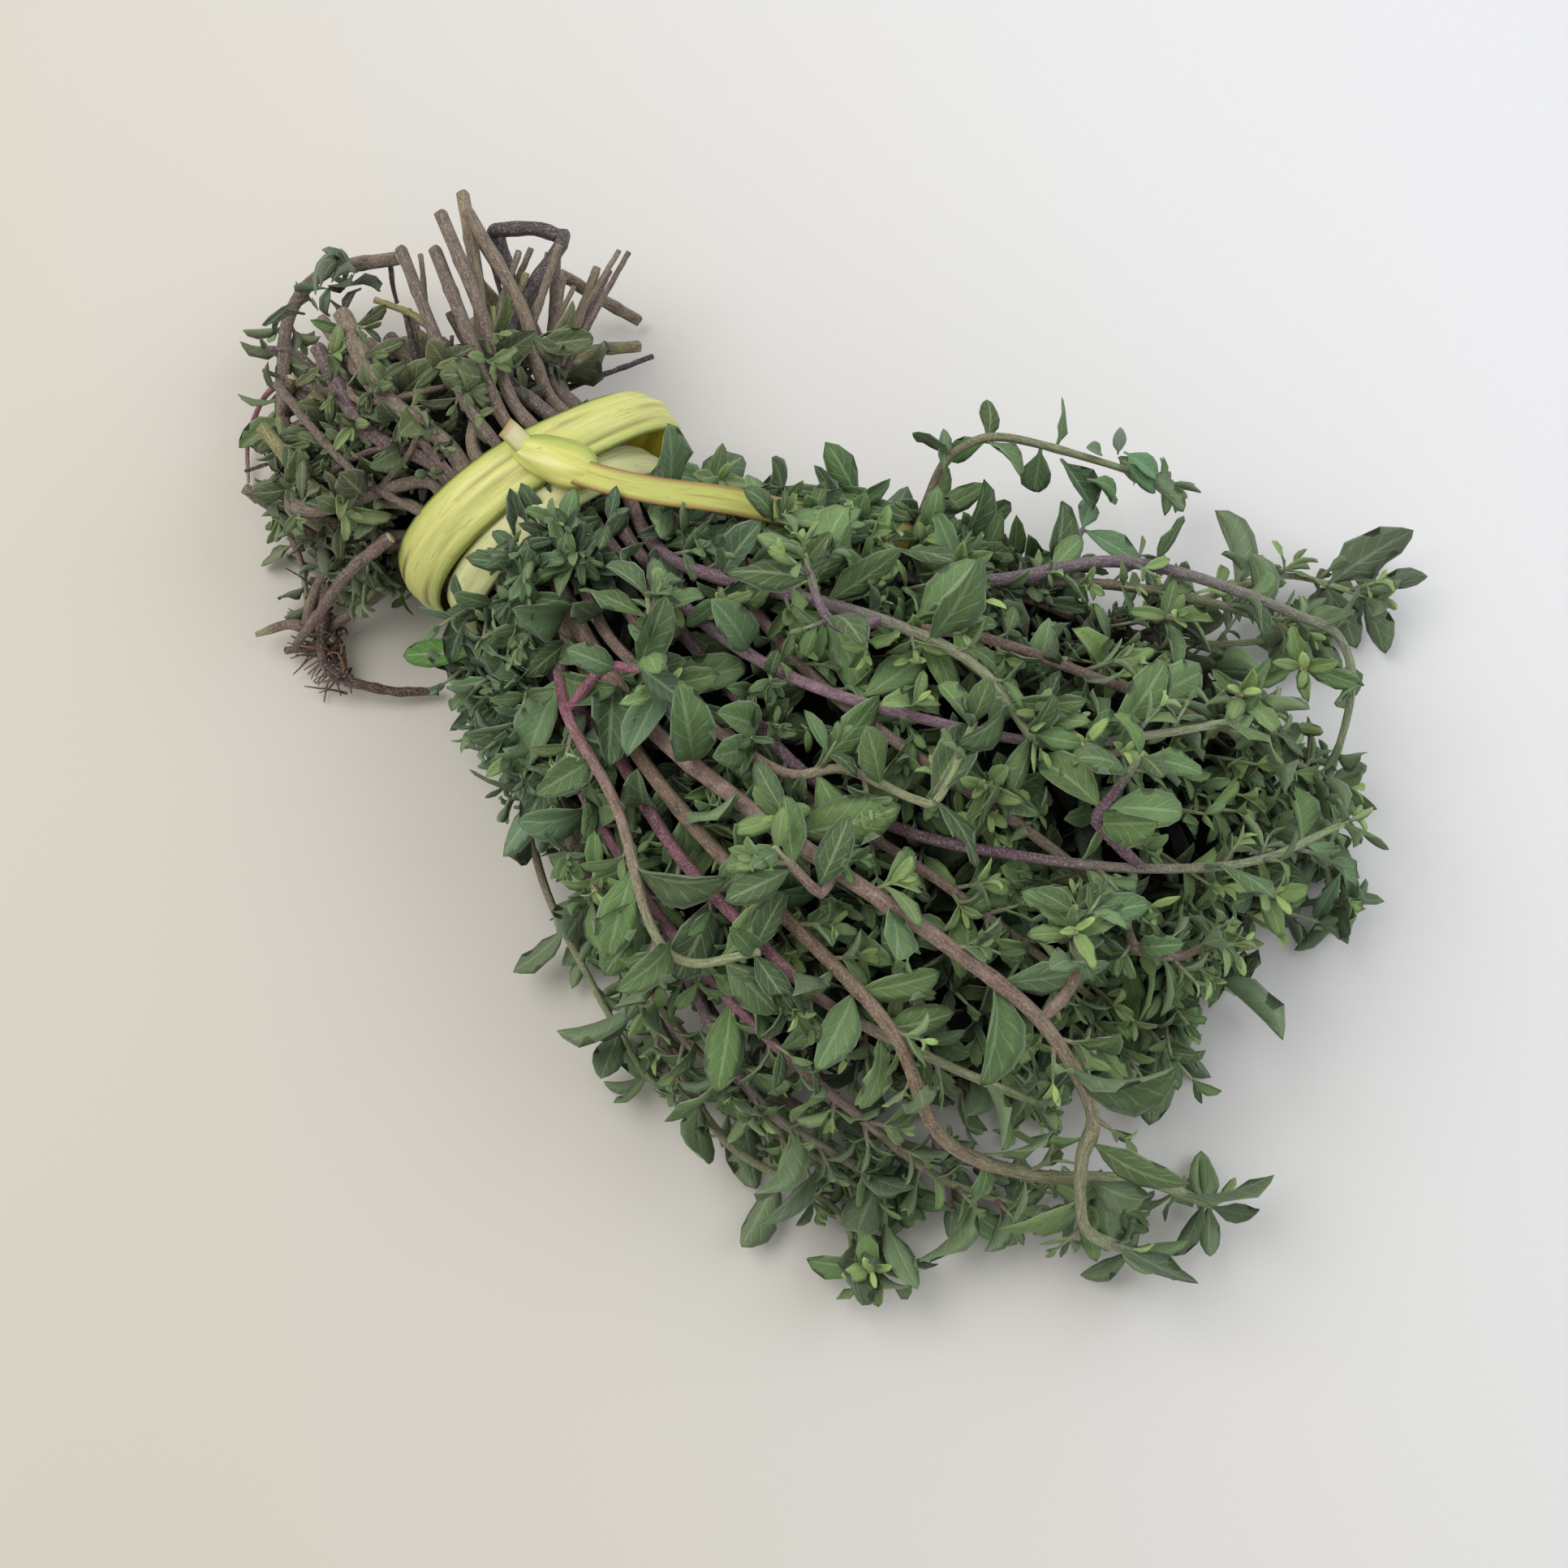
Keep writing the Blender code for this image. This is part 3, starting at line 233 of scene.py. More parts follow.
def cut_end(name, angle, rng):
    """The stretch of a stem behind the tie, from the tie outwards."""
    if name in BUTTS:
        return BUTTS[name]
    upper = max(0.0, math.sin(angle))
    near = max(0.0, -math.cos(angle))
    reach = -114 - 9 * upper - 9 * rng.random()
    drift = 4 + 12 * upper + 5 * rng.random() - 22 * near
    middle = neck_point(angle, -102, 1.2, (2 + 4 * upper - 6 * near, -1.0))
    end = neck_point(angle, reach, 0.8 + 0.4 * rng.random(), (drift, -2 + 5 * rng.random()))
    return [middle, (end[0], end[1], max(end[2], 4.0))]


def stem_paths():
    """Each stem's nodes before settling: (sprig, diameter, points, leaf length, is a side shoot)."""
    rng = np.random.default_rng(SEED)
    places = neck_angles([points[1] if points[0][0] < -40 else points[0] for _, _, points, _ in HEAD_STEMS])
    stems = []
    for (name, diameter, points, leaf), angle in zip(HEAD_STEMS, places):
        behind = cut_end(name, angle, rng)
        through = [neck_point(angle, -84), neck_point(angle, -75), neck_point(angle, -64)]
        curve = smooth_curve([*behind[::-1], *through, *points])
        stems.append((name, diameter, joints_of(curve), leaf, False))
    for name, diameter, points, leaf in SHOOTS:
        parent = next(s for s in stems if s[0] == name)[2]
        fork = parent[np.argmin(np.linalg.norm(parent - np.array(points[0]), axis=1))]
        stems.append((name, diameter, joints_of(smooth_curve([fork, *points]), 12.0), leaf, True))
    return stems


def nearest_on_segments(p1, q1, p2, q2):
    """How far along each of two sets of segments the closest pair of points lies, from 0 to 1."""
    d1, d2, r = q1 - p1, q2 - p2, p1 - p2
    a, e = (d1 * d1).sum(1), (d2 * d2).sum(1)
    b, c, f = (d1 * d2).sum(1), (d1 * r).sum(1), (d2 * r).sum(1)
    across = a * e - b * b
    s = np.where(across > 1e-9, np.clip((b * f - c * e) / np.maximum(across, 1e-9), 0, 1), 0.5)
    t = np.clip((b * s + f) / e, 0, 1)
    return np.clip((b * t - c) / a, 0, 1), t


def settle(stems, fixed, rounds=160):
    """Eases the stems apart, off the core, off the floor and inside the tie, over a set number of rounds."""
    points = np.vstack([s[2] for s in stems] + [f[1] for f in fixed])
    sizes = [len(s[2]) for s in stems] + [len(f[1]) for f in fixed]
    names = [s[0] for s in stems] + [f"fixed {i}" for i in range(len(fixed))]
    radii = [s[1] / 2 for s in stems] + [f[0] for f in fixed]
    starts = np.append(0, np.cumsum(sizes))
    movable = np.arange(len(points)) < starts[len(stems)]
    radius = np.repeat(radii, sizes)
    forks = np.array([starts[i] for i, s in enumerate(stems) if s[4]])
    first = np.concatenate([np.arange(starts[i], starts[i + 1] - 1) for i in range(len(sizes))])
    owner = np.concatenate([[names.index(names[i])] * (sizes[i] - 1) for i in range(len(sizes))])
    seg_radius = radius[first]
    i, j = np.triu_indices(len(first), 1)
    keep = (owner[i] != owner[j]) & (movable[first[i]] | movable[first[j]])
    i, j = i[keep], j[keep]
    middle = (points[first] + points[first + 1]) / 2
    near = np.linalg.norm(middle[i] - middle[j], axis=1) < 45
    i, j = i[near], j[near]
    need = seg_radius[i] + seg_radius[j] + STEM_GAP
    for _ in range(rounds):
        a, b = first[i], first[j]
        s, t = nearest_on_segments(points[a], points[a + 1], points[b], points[b + 1])
        away = points[a] + (points[a + 1] - points[a]) * s[:, None] - points[b] - (
            points[b + 1] - points[b]) * t[:, None]
        gap = np.linalg.norm(away, axis=1)
        hit = gap < need
        away = np.where(gap[:, None] > 1e-3, away / np.maximum(gap, 1e-3)[:, None], (0.0, 0.0, 1.0))
        share = np.where(movable[a] & movable[b], 0.5, 1.0)
        push = away * ((need - gap) * share * 0.55)[:, None]
        move = np.zeros_like(points)
        weight = np.zeros(len(points))
        for at, frac, sign in ((a, 1 - s, 1), (a + 1, s, 1), (b, 1 - t, -1), (b + 1, t, -1)):
            amount = (frac * hit)[:, None] * push * sign * 1.5
            np.add.at(move, at, amount)
            np.add.at(weight, at, hit * (frac > 0.05))
        points += np.where(movable[:, None], move / np.maximum(weight, 1)[:, None], 0)
        keep_off_core(points, radius, movable, first)
        keep_in_tie(points, radius, movable)
        points[movable, 2] = np.maximum(points[movable, 2], radius[movable] + FLOOR_GAP)
    for k in forks:
        points[k] = fork_point(points, k, stems, starts, movable)
    return [(*s[:2], points[starts[n]:starts[n + 1]].copy(), *s[3:]) for n, s in enumerate(stems)]


def fork_point(points, k, stems, starts, movable):
    """The node of a side shoot's own stem that lies nearest its first free point."""
    which = int(np.searchsorted(starts, k, side="right")) - 1
    parent = next(n for n, s in enumerate(stems) if s[0] == stems[which][0])
    nodes = points[starts[parent]:starts[parent + 1]]
    return nodes[np.argmin(np.linalg.norm(nodes - points[k + 1], axis=1))]


def off_core(points, radius):
    """How far points must move so that a stem of this radius there is clear of the core."""
    cy, cz, hw, hh = core_at(points[:, 0])
    inside = (points[:, 0] > CORE[0, 0] - 2) & (points[:, 0] < CORE[-1, 0] + 2)
    off = radius + 1.2
    y, z = points[:, 1] - cy, points[:, 2] - cz
    reach = np.hypot(y / (hw * (1 + CORE_LUMP) + off), z / (hh * (1 + CORE_LUMP) + off))
    grow = np.where(inside & (reach < 1), 1 / np.maximum(reach, 0.05) - 1, 0.0)
    return np.stack([0 * y, y * grow, z * grow], axis=1)


def keep_off_core(points, radius, movable, first):
    """Moves each stem's points, and the middles of its segments, clear of the core."""
    points += np.where(movable[:, None], off_core(points, radius), 0)
    push = off_core((points[first] + points[first + 1]) / 2, radius[first])
    push = np.where(movable[first][:, None], push, 0)
    np.add.at(points, first, push)
    np.add.at(points, first + 1, push)


def keep_in_tie(points, radius, movable):
    """Moves the points that lie within the tie inside its inner turn."""
    zone = (points[:, 0] > TIE_ZONE[0]) & (points[:, 0] < TIE_ZONE[1]) & movable
    room = np.array(PALE_TURN["radii"]) - BLADE_THICKNESS / 2 - 0.55
    y = (points[:, 1] - NECK_CENTRE[0]) / (room[0] - radius)
    z = (points[:, 2] - NECK_CENTRE[1]) / (room[1] - radius)
    reach = np.hypot(y, z)
    shrink = np.where(zone & (reach > 1), 1 / np.maximum(reach, 1), 1.0)
    points[:, 1] = NECK_CENTRE[0] + (points[:, 1] - NECK_CENTRE[0]) * shrink
    points[:, 2] = NECK_CENTRE[1] + (points[:, 2] - NECK_CENTRE[1]) * shrink


def tangents(points):
    """The way ahead at each point: the mean of the steps before and after it."""
    steps = unit(np.diff(points, axis=0))
    return unit(np.vstack([steps[:1], steps[1:] + steps[:-1], steps[-1:]]))


def path_turn(points, start):
    """Two directions square to the path at each point, carried along it without twisting."""
    t = tangents(points)
    side = np.empty_like(t)
    side[0] = unit(np.cross(t[0], start))
    for k in range(1, len(t)):
        side[k] = unit(side[k - 1] - t[k] * (side[k - 1] @ t[k]))
    return t, side, np.cross(t, side)


def depth_shade(co, inner, outer, least):
    """The painted shade at each point inside the bundle, as the share of light there: least at inner
    millimetres off the core's skin, rising in a straight line to 1 at outer."""
    cy, cz, hw, hh = core_at(co[:, 0])
    off = (np.hypot((co[:, 1] - cy) / hw, (co[:, 2] - cz) / hh) - 1) * (hw + hh) / 2
    within = (co[:, 0] > CORE[0, 0] - 4) & (co[:, 0] < CORE[-1, 0] + 4)
    share = np.where(within, np.clip((off - inner) / (outer - inner), 0, 1), 1.0)
    return least + (1 - least) * share


CUT_FACE = -5.0
ON_TABLE = 0.3


def tube(path, reach, colour, shade=(-8, 3, 0.15), start=(0.3, 0.2, 1.0)):
    """A closed tube along the path. reach[ring, side] is how far its skin stands from the path, and
    colour[ring] is the colour there, with a painted shade, the share of light that reaches it, as its fourth
    number. Its map runs once round in x, and along it in y, in centimetres, and is CUT_FACE on its two ends.
    It is pressed flat where it lies on the table."""
    n, m = reach.shape
    t, side, other = path_turn(path, start)
    a = np.arange(m) * 2 * math.pi / m
    ring = side[:, None] * np.cos(a)[:, None] + other[:, None] * np.sin(a)[:, None]
    co = (path[:, None] + ring * reach[:, :, None]).reshape(-1, 3)
    co[:, 2] = np.maximum(co[:, 2], ON_TABLE)
    k, q = np.meshgrid(np.arange(n - 1), np.arange(m), indexing="ij")
    low, high = (k * m + q).ravel(), (k * m + (q + 1) % m).ravel()
    quads = np.stack([low, high, high + m, low + m], axis=1)
    far = np.append(0, np.cumsum(np.linalg.norm(np.diff(path, axis=0), axis=1))) / 10
    u0, u1, v0, v1 = q.ravel() / m, (q.ravel() + 1) / m, far[k.ravel()], far[k.ravel() + 1]
    uv = np.stack([u0, v0, u1, v0, u1, v1, u0, v1], axis=1).reshape(-1, 2)
    caps = np.concatenate([np.arange(m)[::-1], (n - 1) * m + np.arange(m)])
    cap_uv = np.full((2 * m, 2), CUT_FACE)
    tint = np.repeat(colour, m, axis=0)
    # Painted shade: the fourth number darkens the tube towards the inside of the bundle
    tint[:, 3] = depth_shade(co, *shade)
    return {
        "co": co, "corners": np.concatenate([quads.ravel(), caps]),
        "sizes": np.concatenate([np.full(len(quads), 4), [m, m]]), "uv": np.vstack([uv, cap_uv]),
        "tint": tint, "material": np.full(len(quads) + 2, 1),
    }


STEM_SIDES = 12
STEM_STEP = 1.7


def stem_skin(joints, radius, colour, tip=0.55, knobs=0.16):
    """A rounded square carried along the joints of a stem. Its reach at angle a is radius * (0.9 + 0.1 cos
    4a), it thins towards the tip by the cube of the share travelled, and it swells a little halfway between
    joints, where the leaves sit."""
    path = smooth_curve(joints, STEM_STEP)
    share = np.linspace(0, 1, len(path))
    knots = (joints[1:] + joints[:-1]) / 2
    near = np.linalg.norm(path[:, None] - knots[None], axis=2).min(axis=1)
    size = radius * (1 - (1 - tip) * share**3) * (1 + knobs * np.exp(-((near / 1.5) ** 2)))
    a = np.arange(STEM_SIDES) * 2 * math.pi / STEM_SIDES
    reach = size[:, None] * (0.9 + 0.1 * np.cos(4 * a))
    return tube(path, reach, colour(path, share))


def linear(hex_colour):
    """An sRGB hex colour as linear red, green, blue and alpha."""
    s = np.array([int(hex_colour[k:k + 2], 16) / 255 for k in (1, 3, 5)])
    return np.append(np.where(s <= 0.04045, s / 12.92, ((s + 0.055) / 1.055) ** 2.4), 1.0)


def blended(colours, places, at):
    """Colours mixed in a straight line between the places given."""
    stops = np.array([linear(c) for c in colours])
    return np.stack([np.interp(at, places, stops[:, k]) for k in range(4)], axis=1)


STEM_COLOURS = {
    "crimson_sprig": "#835061", "thick_sprig": "#80695F", "brown_sprig": "#7B6856", "wine_sprig": "#774C5A",
    "violet_sprig": "#7A6270", "hooked_sprig": "#7D655E", "dusky_sprig": "#5F4753", "mauve_sprig": "#7F6672",
    "bare_sprig": "#6C5E68", "arching_sprig": "#736E54", "trailing_sprig": "#7A6F5E",
    "lilac_sprig": "#856C78",
    "pink_sprig": "#835A65",
}
STEM_OTHER = "#746257"
CUT_COLOURS = ("#6F6257", "#77695A", "#5D4A4D", "#7D7A4E", "#4A4043", "#82755F", "#665A50")


def stem_colours(name, number, is_shoot):
    """The colours along a stem: grey brown at its cut end, its own in the middle, greener at its tip."""
    own = STEM_COLOURS.get(name, STEM_OTHER)
    butt = CUT_COLOURS[number % len(CUT_COLOURS)]

    def colour(path, share):
        middle = blended([own, own, "#8A9A6C"], [0, 0.72, 1], share)
        behind = blended([butt, butt, STEM_OTHER], [-400, -104, -60], path[:, 0])
        where = np.clip((path[:, 0] + 60) / 25, 0, 1)[:, None] if not is_shoot else 1.0
        return middle * where + behind * (1 - where)
    return colour


stems = settle(stem_paths(), [
    (TAIL_WIDTH / 2 + 0.6, joints_of(smooth_curve(TAIL))),
    (KNOT_HALF[2] + 0.8, np.array([np.array(KNOT_CENTRE) + unit(KNOT_ALONG) * s for s in (-6, 6)])),
])

# The leaves
# Each leaf is a pointed oval on a short stalk, folded up along its midrib, with a wavy edge, and felted on
# both faces. Old leaves are grey green, and the youngest, at the tips, are small, upright and yellow green.
SMALL_LENGTH = 12.5
ROOT_DEPTH = 0.3
SAME_POINT = 0.02
# The ways in which a leaf may bend: turn about its stem, lean (both in radians) and scale
WAYS = [
    (0, 0, 1), (0.45, 0, 1), (-0.45, 0, 1), (0, -0.4, 1), (0.9, 0, 0.95), (-0.9, 0, 0.95), (0, 0.45, 0.95),
    (0.6, -0.45, 0.88), (-0.6, -0.45, 0.88), (1.4, 0, 0.85), (-1.4, 0, 0.85), (0, -0.3, 0.7),
    (0.8, 0.2, 0.7), (-0.8, 0.2, 0.7),
]


def pair_of_leaves(node, at, t, outward, length, rng):
    """Opposite leaves at a node. Pairs alternate: one to both sides, the next to the outside and inside,
    where the inner leaf is lost in the core."""
    across = unit(np.cross(t, outward))
    turns = (78, -78) if node % 2 == 0 else (rng.choice((-15, 15)),)
    leaves = []
    for turn in turns:
        angle = math.radians(turn + rng.uniform(-18, 18))
        lean = math.radians(rng.uniform(38, 66) if node % 2 == 0 else rng.uniform(60, 88))
        away = outward * math.cos(angle) + across * math.sin(angle)
        size = length * rng.uniform(0.85, 1.15)
        leaves.append({
            "root": at + rng.uniform(-0.2, 0.2, 3), "t": t, "away": away, "lean": lean, "length": size,
            "width": size * rng.uniform(0.42, 0.52), "arch": math.radians(rng.uniform(10, 62)),
            "fold": math.radians(rng.uniform(8, 34)), "wave": rng.uniform(-0.22, 0.22), "outward": outward,
            "show": rng.uniform(0.4, 2.6),
        })
    return leaves


def aimed(leaf, turn, lean, scale):
    """The leaf turned about its stem, leant and scaled, as it bends clear of its neighbours."""
    c, s = math.cos(turn), math.sin(turn)
    away = unit(leaf["away"] * c + np.cross(leaf["t"], leaf["away"]) * s)
    angle = leaf["lean"] + lean
    along = unit(leaf["t"] * math.cos(angle) + away * math.sin(angle))
    face = leaf["outward"] * leaf["show"] + leaf["t"]
    up = unit(face - along * (face @ along))
    length, width = leaf["length"] * scale, leaf["width"] * scale
    return {**leaf, "along": along, "up": up, "length": length, "width": width}


def outward_from_core(p):
    """The direction from the core's middle line out to a point."""
    cy, cz, hw, hh = core_at(p[0])
    return unit(np.array([0.0, (p[1] - cy) / hw**2, (p[2] - cz) / hh**2 + 1e-6]))


def leaves_wanted(name, points, length, is_shoot, seed):
    """The leaves that a stem would like to carry: pairs along it, clear of the tie and the cut end, and a
    whorl at the tip."""
    if not length:
        return []
    rng = np.random.default_rng([SEED, seed])
    t = tangents(points)
    leaves = []
    last = len(points) - 1
    for k in range(last + 1):
        at, ahead = points[k], t[k]
        if k < last:
            at, ahead = (points[k] + points[k + 1]) / 2, unit(t[k] + t[k + 1])
        in_tie = LEAFLESS[0] < at[0] < LEAFLESS[1] and math.hypot(*(at[1:] - NECK_CENTRE)) < NECK_REACH
        bare = at[0] < TIE_ZONE[0] and (name in BARE_BUTTS or at[0] < -124 and name not in BUTTS)
        if in_tie or bare or k == 0:
            continue
        outward = outward_from_core(at)
        outward = unit(outward - ahead * (outward @ ahead) + 1e-6)
        size = length * (0.72 if at[0] < TIE_ZONE[0] else 1.0)
        if k < last:
            leaves += pair_of_leaves(k, at, ahead, outward, size, rng)
            continue
        root = at - ahead * 1.2
        leaves += pair_of_leaves(0, root, ahead, outward, size * 0.72, rng)
        leaves += pair_of_leaves(1, root, ahead, outward, size * 0.6, rng)
    return leaves


def core_leaves_wanted():
    """Leaves that stand out of the core between the sprigs, in staggered rows along the bundle."""
    rng = np.random.default_rng([SEED, 777])
    leaves = []
    for row, x in enumerate([*range(-108, -90, 9), *range(-46, 100, 13)]):
        cy, cz, hw, hh = core_at(x)
        count = int(2 * math.pi * math.hypot(hw, hh) / 1.5 / 23)
        for q in range(count):
            a = 2 * math.pi * (q + 0.5 * (row % 2)) / count + rng.uniform(-0.12, 0.12)
            if math.sin(a) < -0.55:
                continue
            outward = unit(np.array([0.0, math.cos(a) / hw, math.sin(a) / hh]))
            skin = 1 - CORE_LUMP - 0.06
            along = x + rng.uniform(-3, 3)
            shell = np.array([along, cy + hw * skin * math.cos(a), cz + hh * skin * math.sin(a)])
            t = unit(np.array([1.0, 0, 0]) + 0.5 * rng.uniform(-1, 1) * np.cross(outward, (1, 0, 0)))
            turn = rng.uniform(-0.8, 0.8)
            across = np.cross(t, outward)
            away = outward * math.cos(turn) + across * math.sin(turn)
            size = rng.uniform(13, 18)
            leaves.append({
                "root": shell - outward, "t": t, "away": away, "lean": math.radians(rng.uniform(42, 80)),
                "length": size + 2.2, "width": size * rng.uniform(0.42, 0.5),
                "arch": math.radians(rng.uniform(20, 75)), "fold": math.radians(rng.uniform(8, 30)),
                "wave": rng.uniform(-0.2, 0.2), "outward": outward, "show": rng.uniform(0.4, 2.6),
            })
    return leaves


def tip_of(leaf):
    """Where the leaf's tip stands in the solid: two or three straight steps, each turned further down by the
    arch."""
    along, up, length, arch = leaf["along"], leaf["up"], leaf["length"], leaf["arch"]
    at, done = leaf["root"] - along * ROOT_DEPTH, 0.0
    for s in (0.5,) if length < SMALL_LENGTH else (0.44, 0.78):
        bend = arch * (s + done) / 2
        at = at + (along * math.cos(bend) - up * math.sin(bend)) * (s - done) * (length + ROOT_DEPTH)
        done = s
    return at + (along * math.cos(arch) - up * math.sin(arch)) * (1 - done) * length


def leaves_of_node(node, wanted):
    """The wanted leaves, each in the way in which it stands in the solid of that name, found by its tip."""
    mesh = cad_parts[node].data
    points = np.empty(3 * len(mesh.vertices), np.float32)
    mesh.vertices.foreach_get("co", points)
    points = points.reshape(-1, 3)
    found = []
    for leaf in wanted:
        for turn, lean, scale in WAYS:
            trial = aimed(leaf, turn, lean, scale)
            off = points - (tip_of(trial) - MIDDLE) * MM
            if (off**2).sum(axis=1).min() < (SAME_POINT * MM) ** 2:
                found.append(trial)
                break
    return found


# Half width along the leaf, as a share of half its width: a narrow stalk, the widest part before the middle,
# and a blunt point
OUTLINE = np.array([
    (0, 0.12), (0.1, 0.14), (0.2, 0.42), (0.3, 0.74), (0.4, 0.94), (0.5, 1), (0.62, 0.99), (0.74, 0.87),
    (0.85, 0.64), (0.94, 0.36), (1, 0.03),
])
# Shares along the leaf where its rings stand, and the number of strips across each face
LARGE = ((0.0, 0.11, 0.24, 0.4, 0.58, 0.76, 0.92), 4)
MEDIUM = ((0.0, 0.15, 0.36, 0.62, 0.86), 4)


BLADE_EDGE, BLADE_RIB = 0.13, 0.16
LEAST_ARCH = 0.02
WAVE_START, WAVE_LENGTH = 0.44, 0.68
# The painted shade of the leaves behind the tie: inner and outer millimetres off the core's skin, and the
# least share of light
SHADE_AT_CUT_END = (-3, 6, 0.05)


def leaf_skins(leaves, rings_and_columns, seed, shade=(1, 11, 0.02)):
    """Closed thin blades for many leaves at once. At share s along a leaf and u across it (-1 to 1) the
    surface is the midrib, bent as an arc of the leaf's arch, plus half its width times u to the side, and
    height above the midrib: |u| sin(fold), the leaf's wave u cos(2 pi (s - 0.44) / 0.68), an edge curl u^4
    and a ripple u^2 sin. The upper and lower faces meet at the edge and stand apart most at the rib. The
    fourth number of their colour is a painted shade: the share of light that reaches them, less towards the
    inside of the bundle, as shade says."""
    stations, columns = rings_and_columns
    rng = np.random.default_rng([SEED, seed, len(leaves)])
    n, m = len(leaves), 2 * columns
    root, along, up = (np.array([leaf[key] for leaf in leaves], float) for key in ("root", "along", "up"))
    length, width, arch, fold, wave = (np.array([leaf[key] for leaf in leaves], float)[:, None, None]
                                       for key in ("length", "width", "arch", "fold", "wave"))
    side = np.cross(up, along)
    s = np.array(stations)[None, :, None]
    u = np.concatenate([np.linspace(-1, 1, columns + 1), np.linspace(1, -1, columns + 1)[1:-1]])[None, None]
    face = np.concatenate([np.ones(columns + 1), -np.ones(columns - 1)])[None, None] * (np.abs(u) < 1)
    reach = length + ROOT_DEPTH
    turn = arch * s
    arc = np.maximum(arch, LEAST_ARCH)
    ahead, down = reach * np.sin(arc * s) / arc, reach * (1 - np.cos(arc * s)) / arc
    curl = rng.uniform(-0.55, 0.5, (n, 1, 1))
    ripple = rng.uniform(0.05, 0.2, (n, 1, 1)) * np.sin(2 * math.pi * rng.uniform(1.5, 2.6, (n, 1, 1)) * s
                                                       + rng.uniform(0, 6.3, (n, 1, 1)) + 1.3 * np.sign(u))
    twist = rng.normal(0, 0.3, (n, 1, 1)) * s
    half = 0.5 * width * np.interp(s, OUTLINE[:, 0], OUTLINE[:, 1])
    height = np.abs(u) * np.sin(fold) + wave * u * np.cos(2 * math.pi * (s - WAVE_START) / WAVE_LENGTH)
    height = half * (height + curl * u**4 + ripple * u**2)
    height = height + face * (BLADE_EDGE + BLADE_RIB * (1 - np.abs(u)) * (face < 0)) * (1.15 - 0.6 * s)
    out = half * u * np.cos(fold)
    out, height = out * np.cos(twist) - height * np.sin(twist), height * np.cos(twist) + out * np.sin(twist)
    a, f, w = along[:, None, None], up[:, None, None], side[:, None, None]
    normal = f * np.cos(turn)[..., None] + a * np.sin(turn)[..., None]
    start = (root - along * ROOT_DEPTH)[:, None, None]
    co = start + a * ahead[..., None] - f * down[..., None] + w * out[..., None] + normal * height[..., None]
    last = reach[:, 0, 0] / arc[:, 0, 0]
    end = start[:, 0, 0] + along * (last * np.sin(arc[:, 0, 0]))[:, None]
    end = end - up * (last * (1 - np.cos(arc[:, 0, 0])))[:, None]
    co = np.concatenate([co.reshape(n, -1, 3), end[:, None]], axis=1)
    co[..., 2] = np.maximum(co[..., 2], 0.25 + 0.1 * (np.arange(co.shape[1]) % 3))

    r, q = (x.ravel() for x in np.meshgrid(np.arange(len(stations) - 1), np.arange(m), indexing="ij"))
    low, high, top = r * m + q, r * m + (q + 1) % m, len(stations) * m
    quads = np.stack([low, low + m, high + m, high], axis=1)
    last_low = (len(stations) - 1) * m + np.arange(m)
    last_high = (len(stations) - 1) * m + (np.arange(m) + 1) % m
    tips = np.stack([last_low, np.full(m, top), last_high], axis=1)
    corners = np.concatenate([quads.ravel(), tips.ravel(), np.arange(m)])
    sizes = np.concatenate([np.full(len(quads), 4), np.full(m, 3), [m]])
    across = np.where(np.arange(m) < columns, np.arange(m) / columns, 2 + (m - np.arange(m)) / columns)
    after = np.where(np.arange(m) < columns, (np.arange(m) + 1) / columns, 2 + (m - np.arange(m) - 1)
                     / columns)
    st = np.array(stations)
    quad_uv = np.stack([across[q], st[r], across[q], st[r + 1], after[q], st[r + 1], after[q], st[r]], axis=1)
    tip_uv = np.stack([across, np.full(m, st[-1]), (across + after) / 2, np.ones(m), after,
                       np.full(m, st[-1])],
                      axis=1)
    uv = np.concatenate([quad_uv.ravel(), tip_uv.ravel(), np.tile((0.5, 0.0), m)]).reshape(-1, 2)
    per_leaf = co.shape[1]
    co = co.reshape(-1, 3)
    colour = np.repeat(np.array([leaf["colour"] for leaf in leaves]), per_leaf, axis=0)
    behind = co[:, 0] < TIE_ZONE[0]
    # Painted shade: darker towards the inside of the bundle, with the cut end's own limits behind the tie
    colour[:, 3] = np.where(behind, depth_shade(co, *SHADE_AT_CUT_END), depth_shade(co, *shade))
    return {
        "co": co, "corners": (corners[None] + np.arange(n)[:, None] * per_leaf).ravel(),
        "sizes": np.tile(sizes, n),
        "uv": np.tile(uv, (n, 1)), "tint": colour,
        "material": np.zeros(n * len(sizes), int),
    }


YOUNG, FRESH, SAGE, DEEP, GREY = "#A9C678", "#6E8E50", "#628056", "#42623A", "#6A8471"
DULL, OLIVE, DRY = "#6B7856", "#76794A", "#584C3E"


def leaf_colour(at, youth, rng):
    """A leaf's own colour: a fresh mixture in the head, greyer next to the tie, dull and drying at the cut
    end, and yellow green where it is young. Each leaf is a little lighter or darker than the next."""
    behind = at[0] < TIE_ZONE[0] + 6
    near_tie = np.clip((-15 - at[0]) / 30, 0, 1)
    palette = (DULL, SAGE, OLIVE, DRY) if behind else (FRESH, SAGE, DEEP, GREY)
    share = np.array([1.0, 0.6, 0.5, 0.5] if behind
                     else [0.9 - 0.5 * near_tie, 0.9, 0.8, 0.15 + 0.9 * near_tie])
    share = share * rng.uniform(0.05, 1, 4) ** 2
    colour = (np.array([linear(c) for c in palette]) * (share / share.sum())[:, None]).sum(0)
    young = np.clip(youth + rng.uniform(-0.1, 0.1), 0, 1) * (0.4 if behind else 1)
    colour = colour * (1 - young) + linear(YOUNG) * young
    colour[:3] *= rng.uniform(0.4, 1.14)
    return colour


# Points along the loose end of the tie where it lies open, how far leaves keep off it, and where they are
# tested
loose_end = smooth_curve(TAIL, 2.0)[:24]
OFF_LOOSE_END = 3.2
REACHES = np.array([0.2, 0.6, 1.0])[:, None]


